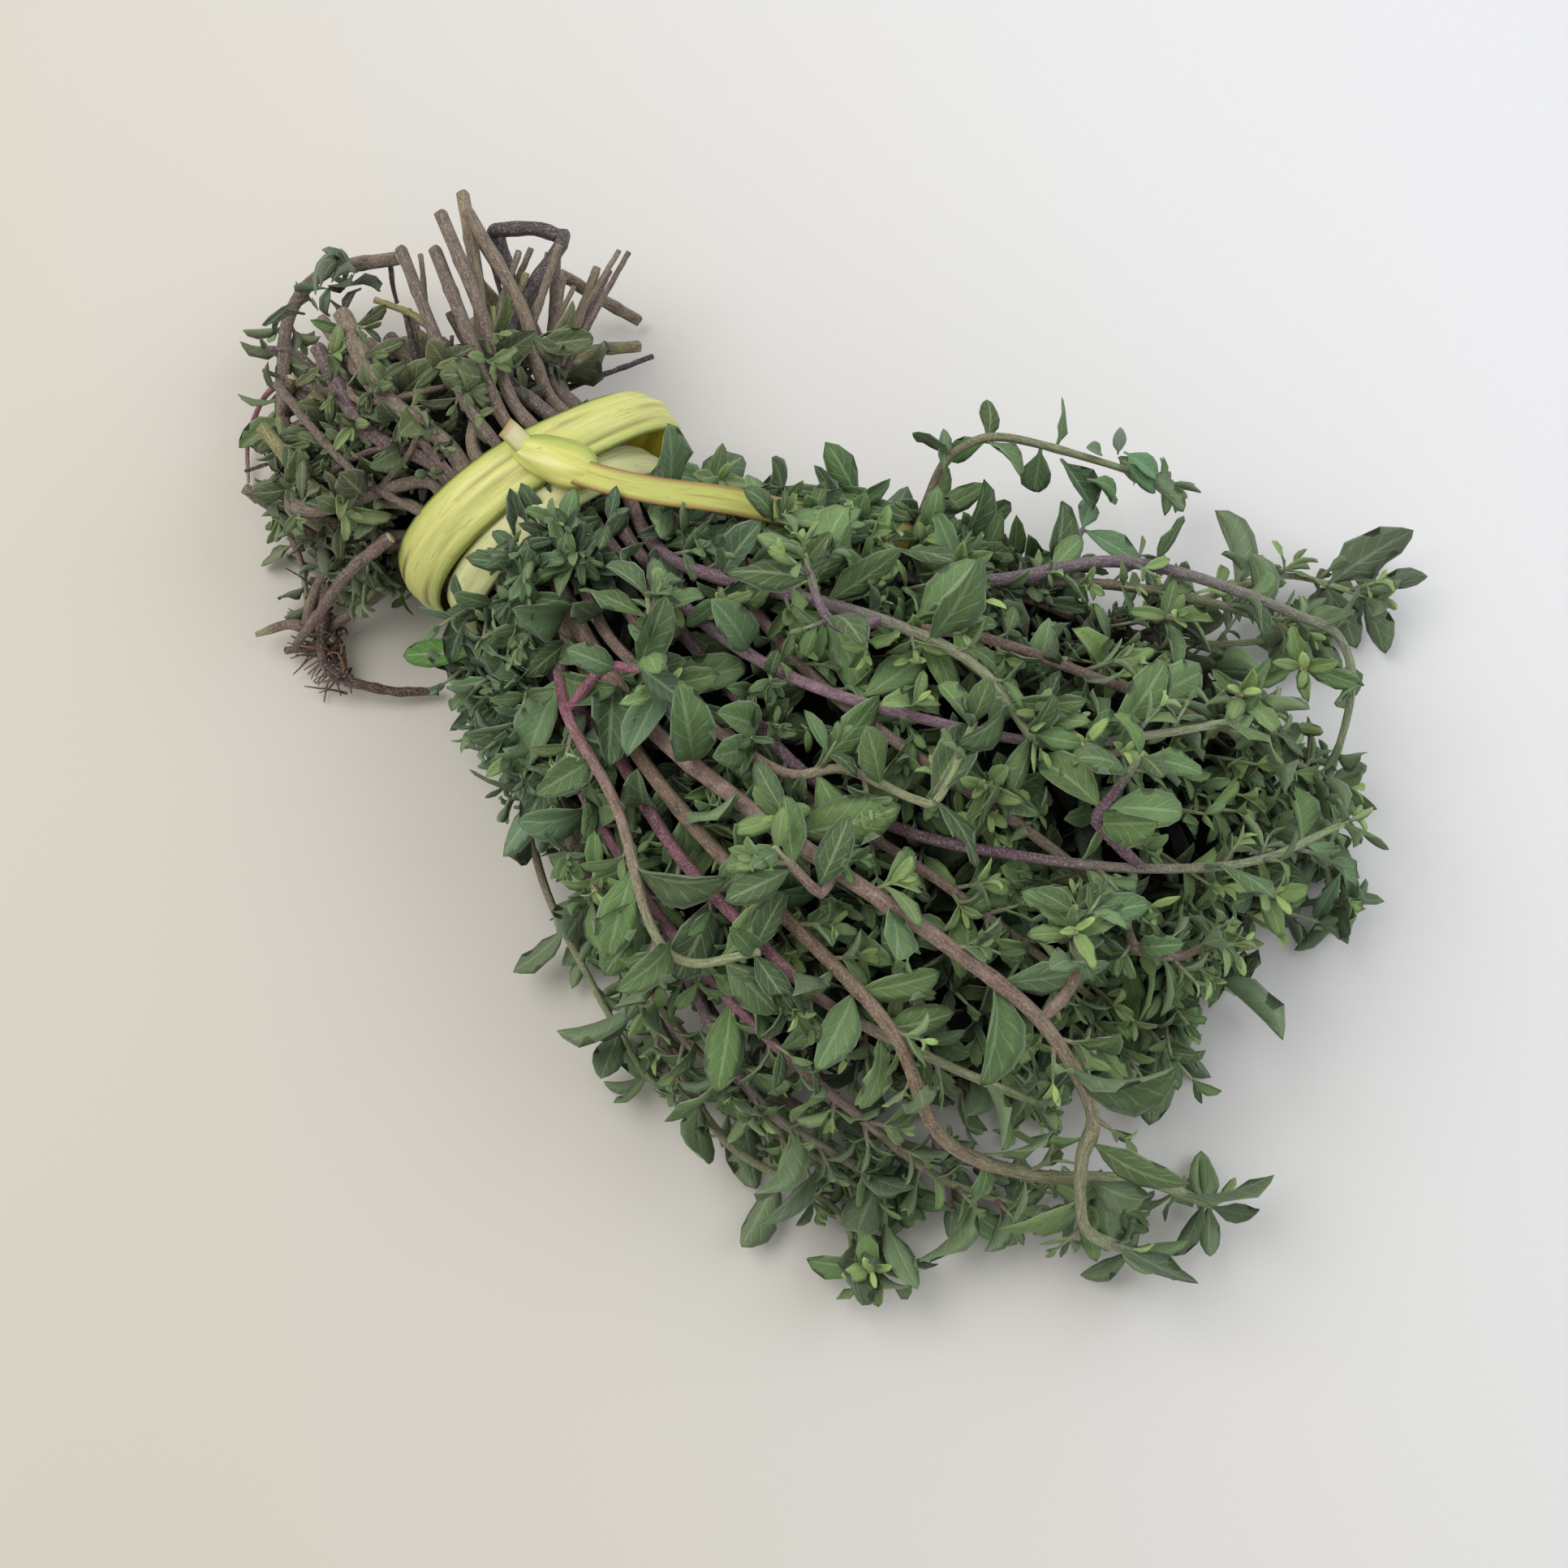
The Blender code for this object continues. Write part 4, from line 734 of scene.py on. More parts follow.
def clear_of_tail(leaf):
    """False for a leaf that would stand beyond the loose end of the tie, on its far side, where it lies open,
    or that would grow through the loose end or stand on the turns."""
    tip = leaf["root"] + leaf["along"] * leaf["length"] * 0.7
    x, y = np.array(TAIL)[:, 0], np.array(TAIL)[:, 1]
    beyond = -66 < tip[0] < 0 and tip[1] > np.interp(tip[0], x, y) + 5 and leaf["root"][1] < 60
    on_tie = WIDE_TURN["x"] - 9 < tip[0] < WIDE_TURN["x"] + 6 and leaf["root"][2] > 12
    near = np.linalg.norm(loose_end[:, None] - (leaf["root"] + leaf["along"] * leaf["length"] * REACHES),
                          axis=2).min()
    return not beyond and not on_tie and near > OFF_LOOSE_END


# Stems that lie on top of the bundle, and the way to the eye, from above the near side
ON_TOP = (
    "crimson_sprig", "thick_sprig", "brown_sprig", "wine_sprig", "violet_sprig", "hooked_sprig",
    "dusky_sprig", "mauve_sprig",
)
TO_EYE = np.array([0.18, -0.186, 0.966])
SIGHT_LINE = 3
top_stems = np.vstack([smooth_curve(joints, 1.5) for name, _, joints, _, _ in stems if name in ON_TOP])
past_neck = top_stems[:, 0] > -50
in_sight = np.sin(0.24 * top_stems[:, 0] + 0.1 * top_stems[:, 1]) > -0.45
top_stems = top_stems[past_neck & in_sight]

# The near side and the front of the bundle in plan, as they show at PLAN_HEIGHT above the table
PLAN_HEIGHT = 12
NEAR_SIDE = np.array([
    (-70, -34), (-47, -39), (-24, -50), (-1, -57), (31, -60), (63, -59), (74, -56), (79, -38), (92, -32),
    (104, -23), (118, -12),
])
FRONT = np.array([(-30, 119), (6, 119), (9, 101), (24, 92), (36, 88), (47, 95), (62, 100), (90, 96)])


def in_place(leaf):
    """False for a leaf that would hide a stretch of a stem which lies on top, with its middle within 3 mm of
    the sight line, or that would reach beyond the near side or the front of the bundle."""
    off = leaf["root"] + leaf["along"] * leaf["length"] * 0.5 - top_stems
    above = off @ TO_EYE
    if ((above > -1) & (np.linalg.norm(off - above[:, None] * TO_EYE, axis=1) < SIGHT_LINE)).any():
        return False
    tip = leaf["root"] + leaf["along"] * leaf["length"] * 0.9
    x, y = tip[:2] + TO_EYE[:2] / TO_EYE[2] * (PLAN_HEIGHT - tip[2])
    return y > np.interp(x, *NEAR_SIDE.T) and x < np.interp(y, *FRONT.T)


def shoot_leaves(path, leaf_length, pairs, outward, rng, youth=0.75, start=0.12, slim=1.0):
    """Opposite pairs of leaves up a short shoot, each pair a quarter turn from the last, smaller and more
    upright towards the tip."""
    t = tangents(path)
    spin = rng.uniform(0, math.pi)
    leaves = []
    for k in range(pairs):
        share = start + (1 - start) * k / max(pairs - 1, 1)
        place = share * (len(path) - 1)
        at = np.array([np.interp(place, np.arange(len(path)), path[:, c]) for c in range(3)])
        ahead = t[int(round(place))]
        across = unit(np.cross(ahead, outward + 0.01))
        other = np.cross(ahead, across)
        for half in (0, math.pi):
            angle = spin + k * math.pi / 2 + half + rng.uniform(-0.4, 0.4)
            away = across * math.cos(angle) + other * math.sin(angle)
            lean = math.radians(66 - 42 * share + rng.uniform(-20, 16))
            along = unit(ahead * math.cos(lean) + away * math.sin(lean))
            face = ahead + outward * rng.uniform(0.0, 1.1)
            length = leaf_length * (1 - 0.6 * share**1.5) * rng.uniform(0.78, 1.18)
            leaves.append({
                "root": at, "along": along, "up": unit(face - along * (face @ along)), "length": length,
                "width": length * rng.uniform(0.36, 0.5) * slim, "arch": math.radians(rng.uniform(5, 85)),
                "fold": math.radians(rng.uniform(8, 46)), "wave": rng.uniform(-0.25, 0.25),
                "colour": leaf_colour(at, youth * share**1.3, rng),
            })
    return leaves


def node(tree, kind, inputs=None, out=0, **settings):
    """Adds a shader node with its settings. Each input is a value or another node's output, and one of the
    new node's outputs is returned."""
    made = tree.nodes.new(kind)
    for key, value in settings.items():
        setattr(made, key, value)
    for key, value in (inputs or {}).items():
        if isinstance(value, bpy.types.NodeSocket):
            tree.links.new(value, made.inputs[key])
        else:
            made.inputs[key].default_value = value
    return made.outputs[out]


def finish_of(name, **values):
    """A new material of that name with numbers and colours set on its shader: returns it, its tree and
    shader."""
    material = bpy.data.materials.new(name)
    material.use_nodes = True
    shader = material.node_tree.nodes["Principled BSDF"]
    for key, value in values.items():
        shader.inputs[key.replace("_", " ")].default_value = value
    return material, material.node_tree, shader


# Marjoram leaf: soft, matt and grey green under a felt of short pale hairs, which gives it a pale bloom at a
# slant. Its lighter edges are partly the felt's own paler margin and partly a painted sheen. The midrib is
# paler, the side veins are sunk in the upper face, and the underside is paler. Its colour is multiplied by a
# painted shade, the share of light in the fourth number of its tint.
LEAF, tree, shader = finish_of("felted_leaf", Roughness=0.66, Specular_IOR_Level=0.28, Sheen_Weight=0.1,
                               Sheen_Roughness=0.45, Sheen_Tint=(0.86, 0.93, 0.84, 1))
own = node(tree, "ShaderNodeAttribute", attribute_name="tint")
light = node(tree, "ShaderNodeAttribute", attribute_name="tint", out="Alpha")
spot = node(tree, "ShaderNodeTexCoord", out="Object")
uv = node(tree, "ShaderNodeUVMap", uv_map="UVMap")
u = node(tree, "ShaderNodeSeparateXYZ", {0: uv}, out=0)
v = node(tree, "ShaderNodeSeparateXYZ", {0: uv}, out=1)
under = node(tree, "ShaderNodeMath", {0: u, 1: 1.5}, operation="GREATER_THAN")
u = node(tree, "ShaderNodeMath", {0: under, 1: -2.0, 2: u}, operation="MULTIPLY_ADD")
u = node(tree, "ShaderNodeMath", {0: u, 1: 0.5}, operation="SUBTRACT")
u = node(tree, "ShaderNodeMath", {0: u}, operation="ABSOLUTE")
rib = node(tree, "ShaderNodeMapRange", {0: u, 1: 0.015, 2: 0.08, 3: 1.0, 4: 0.0},
           interpolation_type="SMOOTHSTEP")
slant = node(tree, "ShaderNodeMath", {0: u, 1: -0.62, 2: v}, operation="MULTIPLY_ADD")
veins = node(tree, "ShaderNodeMath", {0: slant, 1: 36.0}, operation="MULTIPLY")
veins = node(tree, "ShaderNodeMath", {0: veins}, operation="SINE")
veins = node(tree, "ShaderNodeMapRange", {0: veins, 1: 0.7, 2: 1.0, 3: 0.0, 4: 1.0},
             interpolation_type="SMOOTHSTEP")
inner = node(tree, "ShaderNodeMapRange", {0: u, 1: 0.32, 2: 0.46, 3: 1.0, 4: 0.0},
             interpolation_type="SMOOTHSTEP")
veins = node(tree, "ShaderNodeMath", {0: veins, 1: inner}, operation="MULTIPLY")
# Pale rim: partly the felted margin's own colour, partly a painted sheen
edge = node(tree, "ShaderNodeMapRange", {0: u, 1: 0.43, 2: 0.5, 3: 0.0, 4: 0.5},
            interpolation_type="SMOOTHSTEP")
blotch = node(tree, "ShaderNodeTexNoise", {"Vector": spot, "Scale": 260.0, "Detail": 3.0, "Roughness": 0.6})
felt = node(tree, "ShaderNodeTexNoise", {"Vector": spot, "Scale": 2600.0, "Detail": 2.0, "Roughness": 0.7})
light_dark = node(tree, "ShaderNodeMix", {0: blotch, 6: (0.5, 0.56, 0.46, 1), 7: (1.5, 1.44, 1.46, 1)}, out=2,
                  data_type="RGBA")
body = node(tree, "ShaderNodeMix", {0: 0.6, 6: own, 7: light_dark}, out=2, data_type="RGBA",
            blend_type="MULTIPLY")
share = node(tree, "ShaderNodeMath", {0: veins, 1: 0.2}, operation="MULTIPLY")
body = node(tree, "ShaderNodeMix", {0: share, 6: body, 7: linear("#A9BC97")}, out=2, data_type="RGBA")
share = node(tree, "ShaderNodeMath", {0: rib, 1: 0.34}, operation="MULTIPLY")
body = node(tree, "ShaderNodeMix", {0: share, 6: body, 7: linear("#B3C49C")}, out=2, data_type="RGBA")
body = node(tree, "ShaderNodeMix", {0: edge, 6: body, 7: linear("#B9C8AE")}, out=2, data_type="RGBA")
share = node(tree, "ShaderNodeMath", {0: under, 1: 0.3}, operation="MULTIPLY")
body = node(tree, "ShaderNodeMix", {0: share, 6: body, 7: linear("#94A58C")}, out=2, data_type="RGBA")
share = node(tree, "ShaderNodeMapRange", {0: felt, 1: 0.5, 2: 0.78, 3: 0.0, 4: 0.14})
body = node(tree, "ShaderNodeMix", {0: share, 6: body, 7: linear("#C3CFBB")}, out=2, data_type="RGBA")
# Painted shade: the colour times the share of light that reaches the leaf
body = node(tree, "ShaderNodeMix", {0: 1.0, 6: body, 7: light}, out=2, data_type="RGBA",
            blend_type="MULTIPLY")
tree.links.new(body, shader.inputs["Base Color"])
relief = node(tree, "ShaderNodeMath", {0: veins, 1: 0.9, 2: rib}, operation="MULTIPLY_ADD")
relief = node(tree, "ShaderNodeMath", {0: felt, 1: 0.4, 2: relief}, operation="MULTIPLY_ADD")
bump = node(tree, "ShaderNodeBump", {"Strength": 0.5, "Distance": 0.0003, "Height": relief}, invert=True)
tree.links.new(bump, shader.inputs["Normal"])

# Marjoram stem: ribbed green wood flushed with wine red, matt under fine white down, with fine streaks along
# it. Its cut face shows the pale pith.
STEM, tree, shader = finish_of("downy_stem", Roughness=0.7, Specular_IOR_Level=0.3, Sheen_Weight=0.12,
                               Sheen_Roughness=0.5, Sheen_Tint=(0.93, 0.9, 0.88, 1))
own = node(tree, "ShaderNodeAttribute", attribute_name="tint")
spot = node(tree, "ShaderNodeTexCoord", out="Object")
uv = node(tree, "ShaderNodeUVMap", uv_map="UVMap")
drawn = node(tree, "ShaderNodeMapping", {"Vector": uv, "Scale": (5.0, 1.1, 1.0)})
streaks = node(tree, "ShaderNodeTexNoise", {"Vector": drawn, "Scale": 3.0, "Detail": 4.0, "Roughness": 0.65})
down = node(tree, "ShaderNodeTexNoise", {"Vector": spot, "Scale": 2100.0, "Detail": 2.0, "Roughness": 0.8})
dark = node(tree, "ShaderNodeMapRange", {0: streaks, 1: 0.32, 2: 0.7, 3: 0.42, 4: 1.6})
body = node(tree, "ShaderNodeMix", {0: 0.85, 6: own, 7: dark}, out=2, data_type="RGBA", blend_type="MULTIPLY")
share = node(tree, "ShaderNodeMapRange", {0: down, 1: 0.5, 2: 0.76, 3: 0.0, 4: 0.5})
body = node(tree, "ShaderNodeMix", {0: share, 6: body, 7: linear("#C9C0BC")}, out=2, data_type="RGBA")
along = node(tree, "ShaderNodeSeparateXYZ", {0: uv}, out=1)
cut = node(tree, "ShaderNodeMath", {0: along, 1: CUT_FACE / 2}, operation="LESS_THAN")
body = node(tree, "ShaderNodeMix", {0: cut, 6: body, 7: linear("#B9AC8C")}, out=2, data_type="RGBA")
# Painted shade: the colour times the share of light that reaches the stem, in the fourth number of its tint
light = node(tree, "ShaderNodeAttribute", attribute_name="tint", out="Alpha")
body = node(tree, "ShaderNodeMix", {0: 1.0, 6: body, 7: light}, out=2, data_type="RGBA",
            blend_type="MULTIPLY")
tree.links.new(body, shader.inputs["Base Color"])
bump = node(tree, "ShaderNodeBump", {"Strength": 0.5, "Distance": 0.0004, "Height": streaks})
tree.links.new(bump, shader.inputs["Normal"])


def piece(name, shapes, materials, nodes):
    """One object from many shapes. Their points go from the drawing frame into the row's, and a tip that
    would stand out of the solids' box, by a millimetre at most, is pressed back to it. It rides with the
    bundle and stands for the solids named."""
    co = (np.concatenate([shape["co"] for shape in shapes]) - MIDDLE) * MM
    co = np.clip(co, np.array(cad_box[0]) + (0, 0, 0.1 * MM), cad_box[1])
    first = np.append(0, np.cumsum([len(shape["co"]) for shape in shapes]))
    corners = np.concatenate([shape["corners"] + start for shape, start in zip(shapes, first)])
    sizes = np.concatenate([shape["sizes"] for shape in shapes])
    which = np.concatenate([shape["material"] for shape in shapes])
    mesh = bpy.data.meshes.new(name)
    mesh.vertices.add(len(co))
    mesh.vertices.foreach_set("co", co.astype(np.float32).ravel())
    mesh.loops.add(len(corners))
    mesh.loops.foreach_set("vertex_index", corners.astype(np.int32))
    mesh.polygons.add(len(sizes))
    mesh.polygons.foreach_set("loop_start", np.append(0, np.cumsum(sizes))[:-1].astype(np.int32))
    for material in materials:
        mesh.materials.append(material)
    mesh.polygons.foreach_set("material_index", which.astype(np.int32))
    mesh.update(calc_edges=True)
    mesh.shade_smooth()
    uv = mesh.uv_layers.new(name="UVMap")
    uv.data.foreach_set("uv", np.concatenate([shape["uv"] for shape in shapes]).astype(np.float32).ravel())
    tint = mesh.attributes.new("tint", "FLOAT_COLOR", "POINT")
    colours = np.concatenate([shape["tint"] for shape in shapes])
    tint.data.foreach_set("color", colours.astype(np.float32).ravel())
    obj = bpy.data.objects.new(name, mesh)
    bpy.context.scene.collection.objects.link(obj)
    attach(obj, "root")
    if nodes:
        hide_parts(*nodes)
    return obj


# The sprigs
# A sprig is its stem with its side shoots, the leaves that stand in pairs along them, clusters of small
# leaves in their axils, and a tight rosette of young leaves at each tip.
AXIL_SPACING = 8.5
# The cut end's open stubs lie past this x and y
STUBS_BEYOND = (-103, 7)
sprigs = {}
for number, (name, diameter, joints, leaf_length, is_shoot) in enumerate(stems):
    rng = np.random.default_rng([SEED, 900 + number])
    sprig = sprigs.setdefault(name, {"shapes": [], "wanted": [], "large": [], "small": []})
    sprig["shapes"].append(stem_skin(joints, diameter / 2, stem_colours(name, number, is_shoot)))
    sprig["wanted"] += leaves_wanted(name, joints, leaf_length, is_shoot, number)
    if not leaf_length:
        continue
    path = smooth_curve(joints, 1.0)
    t = tangents(path)
    far = np.append(0, np.cumsum(np.linalg.norm(np.diff(path, axis=0), axis=1)))
    bare = name == "bare_sprig"
    for stop in np.arange(far[-1] - 5, 0, -AXIL_SPACING * (2.2 if bare else 1.0)):
        k = int(np.searchsorted(far, stop))
        at, ahead = path[k], t[k]
        in_neck = math.hypot(*(at[1:] - NECK_CENTRE)) < NECK_REACH
        in_tie = LEAFLESS[0] - 2 < at[0] < LEAFLESS[1] - 2 and in_neck
        open_stub = at[0] < STUBS_BEYOND[0] and at[1] > STUBS_BEYOND[1]
        bare_butt = at[0] < TIE_ZONE[0] and name in BARE_BUTTS
        if in_tie or open_stub or bare_butt or bare and at[0] > 30:
            continue
        outward = outward_from_core(at)
        outward = unit(outward - ahead * (outward @ ahead) + 1e-6)
        across = np.cross(ahead, outward)
        for sign in (-1, 1):
            if rng.random() < 0.1:
                continue
            angle = sign * rng.uniform(0.5, 1.7)
            away = outward * math.cos(angle) + across * math.sin(angle)
            heading = unit(ahead * rng.uniform(0.6, 1.3) + away)
            reach = rng.uniform(3.5, 8) * (0.6 if at[0] < TIE_ZONE[0] else 1)
            twig = np.array([at + heading * reach * q for q in (0, 0.5, 1)])
            size = min(leaf_length * 0.62, 11) * rng.uniform(0.7, 1.1)
            pairs, youth = int(rng.integers(1, 4)), rng.choice((0.1, 0.5, 1.0))
            new = shoot_leaves(twig, size, pairs, outward, rng, youth, 0.5)
            if name == "arching_sprig" or not all(in_place(leaf) and clear_of_tail(leaf) for leaf in new):
                continue
            sprig["small"] += new
            twig = twig[:2] if pairs == 1 else twig
            share = np.linspace(0, 1, len(twig))
            own = blended([STEM_COLOURS.get(name, STEM_OTHER), "#7F9A68"], [0, 1], share)
            # Painted shade: the twig darkens towards the inside of the bundle
            sprig["shapes"].append(tube(twig, (0.6 - 0.35 * share)[:, None] * np.ones(5), own, (1, 11, 0.02)))
    end = np.array([path[-1] - t[-1] * 3, path[-1] - t[-1] * 0.5, path[-1] + t[-1] * 2.2])
    outward = outward_from_core(path[-1])
    youth = 0.3 if bare else rng.uniform(0.9, 1.3)
    new = shoot_leaves(end, min(leaf_length * 0.62, 10.5), 4, outward, rng, youth, 0.0)
    sprig["small"] += [leaf for leaf in new if in_place(leaf)
                       and (name == "arching_sprig" or clear_of_tail(leaf))]

# Single leaves that the eye picks out, from the root to the tip, with their width, arch and colour
MARKED_LEAVES = {
    "wine_sprig": [((-60, -23, 33), (-73, -33, 29), 6.6, 0.3, "#4F7A35"),
                   ((-60, -25, 31), (-46, -24, 24), 5.5, 0.5, "#4E6B49"),
                   ((-53, -24, 24), (-45, -24, 16), 4.5, 0.4, "#6B8A66")],
    "arching_sprig": [((-19, 64, 42), (-24, 69, 46), 3.2, 0.3, "#66825F"),
                      ((-17, 74, 43), (-22, 67, 40), 5.0, 0.6, "#4F7B47"),
                      ((-9, 81, 40), (-5, 76, 33), 6.6, 0.2, "#55734E"),
                      ((-5, 83, 38), (6, 84, 29), 7.0, 0.3, "#4A6647"),
                      ((1, 85, 35), (10, 95, 28), 5.4, 1.2, "#5E8553"),
                      ((1, 94, 33), (-1, 96, 38), 3.0, 0.3, "#7E9484"),
                      ((2, 95, 33), (10, 99, 28), 4.6, 0.4, "#6F9A73"),
                      ((3, 94, 32), (12, 97, 26), 4.2, 0.4, "#5F8A5F"),
                      ((-1, 91, 34), (-3, 89, 38), 3.4, 0.3, "#6C8A68"),
                      ((-18, 56, 33), (-21, 54, 38), 6.0, 0.9, "#34452F"),
                      ((-18, 56, 33), (-14, 59, 40), 6.0, 0.9, "#3A4D33"),
                      ((-16, 57, 32), (-11, 65, 30), 5.2, 1.1, "#3A4A2F")],
    "lilac_sprig": [((76, -33, 8), (93, -29, 4), 6.0, 0.5, "#6F9061"),
                    ((78, -34, 8), (68, -38, 5), 4.5, 0.4, "#6F9061")],
    "bare_sprig": [((88, 66, 16), (101, 63, 5), 4.6, 0.7, "#5E7F60"),
                   ((88, 66, 16), (92, 55, 9), 4.0, 0.7, "#5E7F60"),
                   ((6, 79, 28), (19, 82, 30), 5.5, 0.4, "#648664"),
                   ((6, 79, 28), (1, 89, 24), 5.0, 0.5, "#648664")],
}
MARKED_STALKS = {
    "wine_sprig": [[(-47, -11, 33), (-53, -19, 35), (-60, -24, 33)]],
    "lilac_sprig": [[(64, -26, 14), (71, -29, 11), (77, -34, 8)]],
    "bare_sprig": [[(82, 62, 22), (85, 65, 19), (88, 66, 16)], [(8, 64, 36), (8, 72, 33), (6, 79, 28)]],
}

# Sprigs whose leaves are painted darker than the rest, a painted shade, by the factor given
SHADED_SPRIGS = {"far_sprig": 0.6, "upper_side_sprig": 0.75, "lower_side_sprig": 0.75, "arching_sprig": 0.8}

for name, sprig in sprigs.items():
    rng = np.random.default_rng([SEED, 1300, len(sprig["wanted"])])
    for leaf in leaves_of_node(name, sprig["wanted"]):
        # Painted shade: these sprigs' leaf colours are scaled down by their factor
        sprig["large"].append({**leaf, "colour": leaf_colour(leaf["root"], 0.1, rng) * SHADED_SPRIGS.get(name, 1.0)})
    for root, tip, width, arch, colour in MARKED_LEAVES.get(name, ()):
        along = np.array(tip, float) - root
        sprig["large"].append({
            "root": np.array(root, float), "along": unit(along), "length": np.linalg.norm(along),
            "up": unit(np.array([0, 0, 1.0]) - unit(along) * unit(along)[2]), "width": width, "arch": arch,
            "fold": 0.4, "wave": 0.1, "colour": linear(colour),
        })
    shapes = sprig["shapes"]
    for points in MARKED_STALKS.get(name, ()):
        reach = np.linspace(0.9, 0.6, 3)[:, None] * np.ones(6)
        shapes.append(tube(np.array(points, float), reach, np.tile(linear(STEM_COLOURS[name]), (3, 1))))
    if sprig["large"]:
        shapes.append(leaf_skins(sprig["large"], LARGE, 11))
    if sprig["small"]:
        shapes.append(leaf_skins(sprig["small"], MEDIUM, 12))
    piece("marjoram_" + name, shapes, (LEAF, STEM), [name])

# The heart of the bundle
# Inside, stems and leaves are packed close, and little light gets in. A core painted near black, as painted
# shade, stands for them, and short leafy shoots stand out of it all round, thickest on top. The cut stems of
# the sprigs inside fill its end.
HEAD_SHOOTS = 420
COLLAR_SHOOTS = 100
SKIRT_SHOOTS = 34
CUT_SHOOTS = 66
TAIL_COVER = 26
# The cut stems in the end of the core stand in a spiral on its outline at this x
HIDDEN_STEMS = 76
HIDDEN_STEMS_AT = -114.0
SPIRAL_TURN = 2.39996
HIDDEN_STEM_SIDES = 10
HIDDEN_STEM_COLOURS = ("#6F5A50", "#5C4C45", "#77694C", "#64504F", "#6B6A48")


def core_skin(shrink, rings=70, sides=64):
    """The core as a smooth tube: an ellipse at each x, its half axes shrunk, roughened by three crossed
    waves."""
    x = np.linspace(CORE[0, 0] + 2, CORE[-1, 0] - 1, rings)
    cy, cz, hw, hh = core_at(x)
    a = np.arange(sides) * 2 * math.pi / sides
    rough = 1 + 0.035 * np.sin(5 * a[None] + 0.4 * x[:, None])
    rough = rough + 0.03 * np.sin(9 * a[None] - 0.27 * x[:, None])
    rough = rough + 0.03 * np.sin(0.8 * x[:, None] + 3 * np.sin(2 * a)[None])
    y = cy[:, None] + (hw * shrink)[:, None] * np.cos(a)[None] * rough
    z = np.maximum(cz[:, None] + (hh * shrink)[:, None] * np.sin(a)[None] * rough, 1.4)
    co = np.stack([np.broadcast_to(x[:, None], y.shape), y, z], axis=2).reshape(-1, 3)
    k, q = (v.ravel() for v in np.meshgrid(np.arange(rings - 1), np.arange(sides), indexing="ij"))
    low, high = k * sides + q, k * sides + (q + 1) % sides
    quads = np.stack([low, high, high + sides, low + sides], axis=1)
    caps = np.concatenate([np.arange(sides)[::-1], (rings - 1) * sides + np.arange(sides)])
    uv = np.stack([q / sides, x[k] / 10], axis=1).repeat(4, axis=0)
    return {
        "co": co, "corners": np.concatenate([quads.ravel(), caps]),
        "uv": np.vstack([uv, np.zeros((2 * sides, 2))]),
        "sizes": np.concatenate([np.full(len(quads), 4), [sides, sides]]),
        "tint": np.tile(linear("#1A2017"), (len(co), 1)), "material": np.zeros(len(quads) + 2, int),
    }


# The shaded inside of the bundle, as painted shade: a tangle of leaves and stems painted near black, with
# dark green and brown flecks
INSIDE, tree, shader = finish_of("painted_shade_inside", Roughness=0.85, Specular_IOR_Level=0.15)
spot = node(tree, "ShaderNodeTexCoord", out="Object")
flecks = node(tree, "ShaderNodeTexVoronoi", {"Vector": spot, "Scale": 230.0}, out="Color")
fleck = node(tree, "ShaderNodeSeparateColor", {0: flecks})
body = node(tree, "ShaderNodeMix", {0: fleck, 6: linear("#060705"), 7: linear("#1B2317")}, out=2,
            data_type="RGBA")
tree.links.new(body, shader.inputs["Base Color"])
depth = node(tree, "ShaderNodeTexVoronoi", {"Vector": spot, "Scale": 230.0})
tree.links.new(node(tree, "ShaderNodeBump", {"Distance": 0.0015, "Height": depth}), shader.inputs["Normal"])


def heart_shoots(count, x_range, seed, size, youth, root=0.86, ahead=(0.1, 1.0),
                 turn=(-0.75, math.pi + 0.75)):
    """Short shoots rooted in the core. Each starts on an ellipse near its skin, at an angle within turn, and
    leans outwards and along the bundle, by a draw within ahead; none points down into the table."""
    rng = np.random.default_rng([SEED, seed])
    leaves, twigs = [], []
    while count:
        x = rng.uniform(*x_range)
        cy, cz, hw, hh = core_at(x)
        a = rng.uniform(*turn)
        among_stubs = x < STUBS_BEYOND[0] and cy + hw * math.cos(a) > STUBS_BEYOND[1]
        if rng.random() > hw / 48 or among_stubs:
            continue
        outward = unit(np.array([0.0, math.cos(a) / hw, math.sin(a) / hh]))
        base = np.array([x, cy + root * hw * math.cos(a), max(cz + root * hh * math.sin(a), 2.0)])
        lean = unit(outward * rng.uniform(0.5, 1.1) + np.array([rng.uniform(*ahead), 0, 0])
                    + rng.normal(0, 0.3, 3))
        length = rng.uniform(11, 21) * size
        bend = unit(lean + np.array([0.35, 0, 0.1]))
        twig = np.array([base, base + lean * length * 0.5, base + lean * length * 0.5 + bend * length * 0.5])
        twig[:, 2] = np.maximum(twig[:, 2], 1.5)
        leaf = rng.uniform(9.5, 15.5) * size
        pairs, own_youth = int(rng.integers(3, 5)), youth * rng.choice((0.15, 0.4, 1.3))
        new = shoot_leaves(twig, leaf, pairs, outward, rng, own_youth)
        if not all(in_place(leaf) and clear_of_tail(leaf) for leaf in new):
            continue
        count -= 1
        leaves += new
        path = smooth_curve(twig, 3.0)
        own = blended([STEM_OTHER, "#8A9A6C"], [0, 1], np.linspace(0, 1, len(path)))
        reach = np.linspace(0.75, 0.3, len(path))[:, None] * np.ones(6)
        # Painted shade: the twig darkens almost to black towards the core
        twigs.append(tube(path, reach, own, (2, 12, 0.02)))
    return leaves, twigs


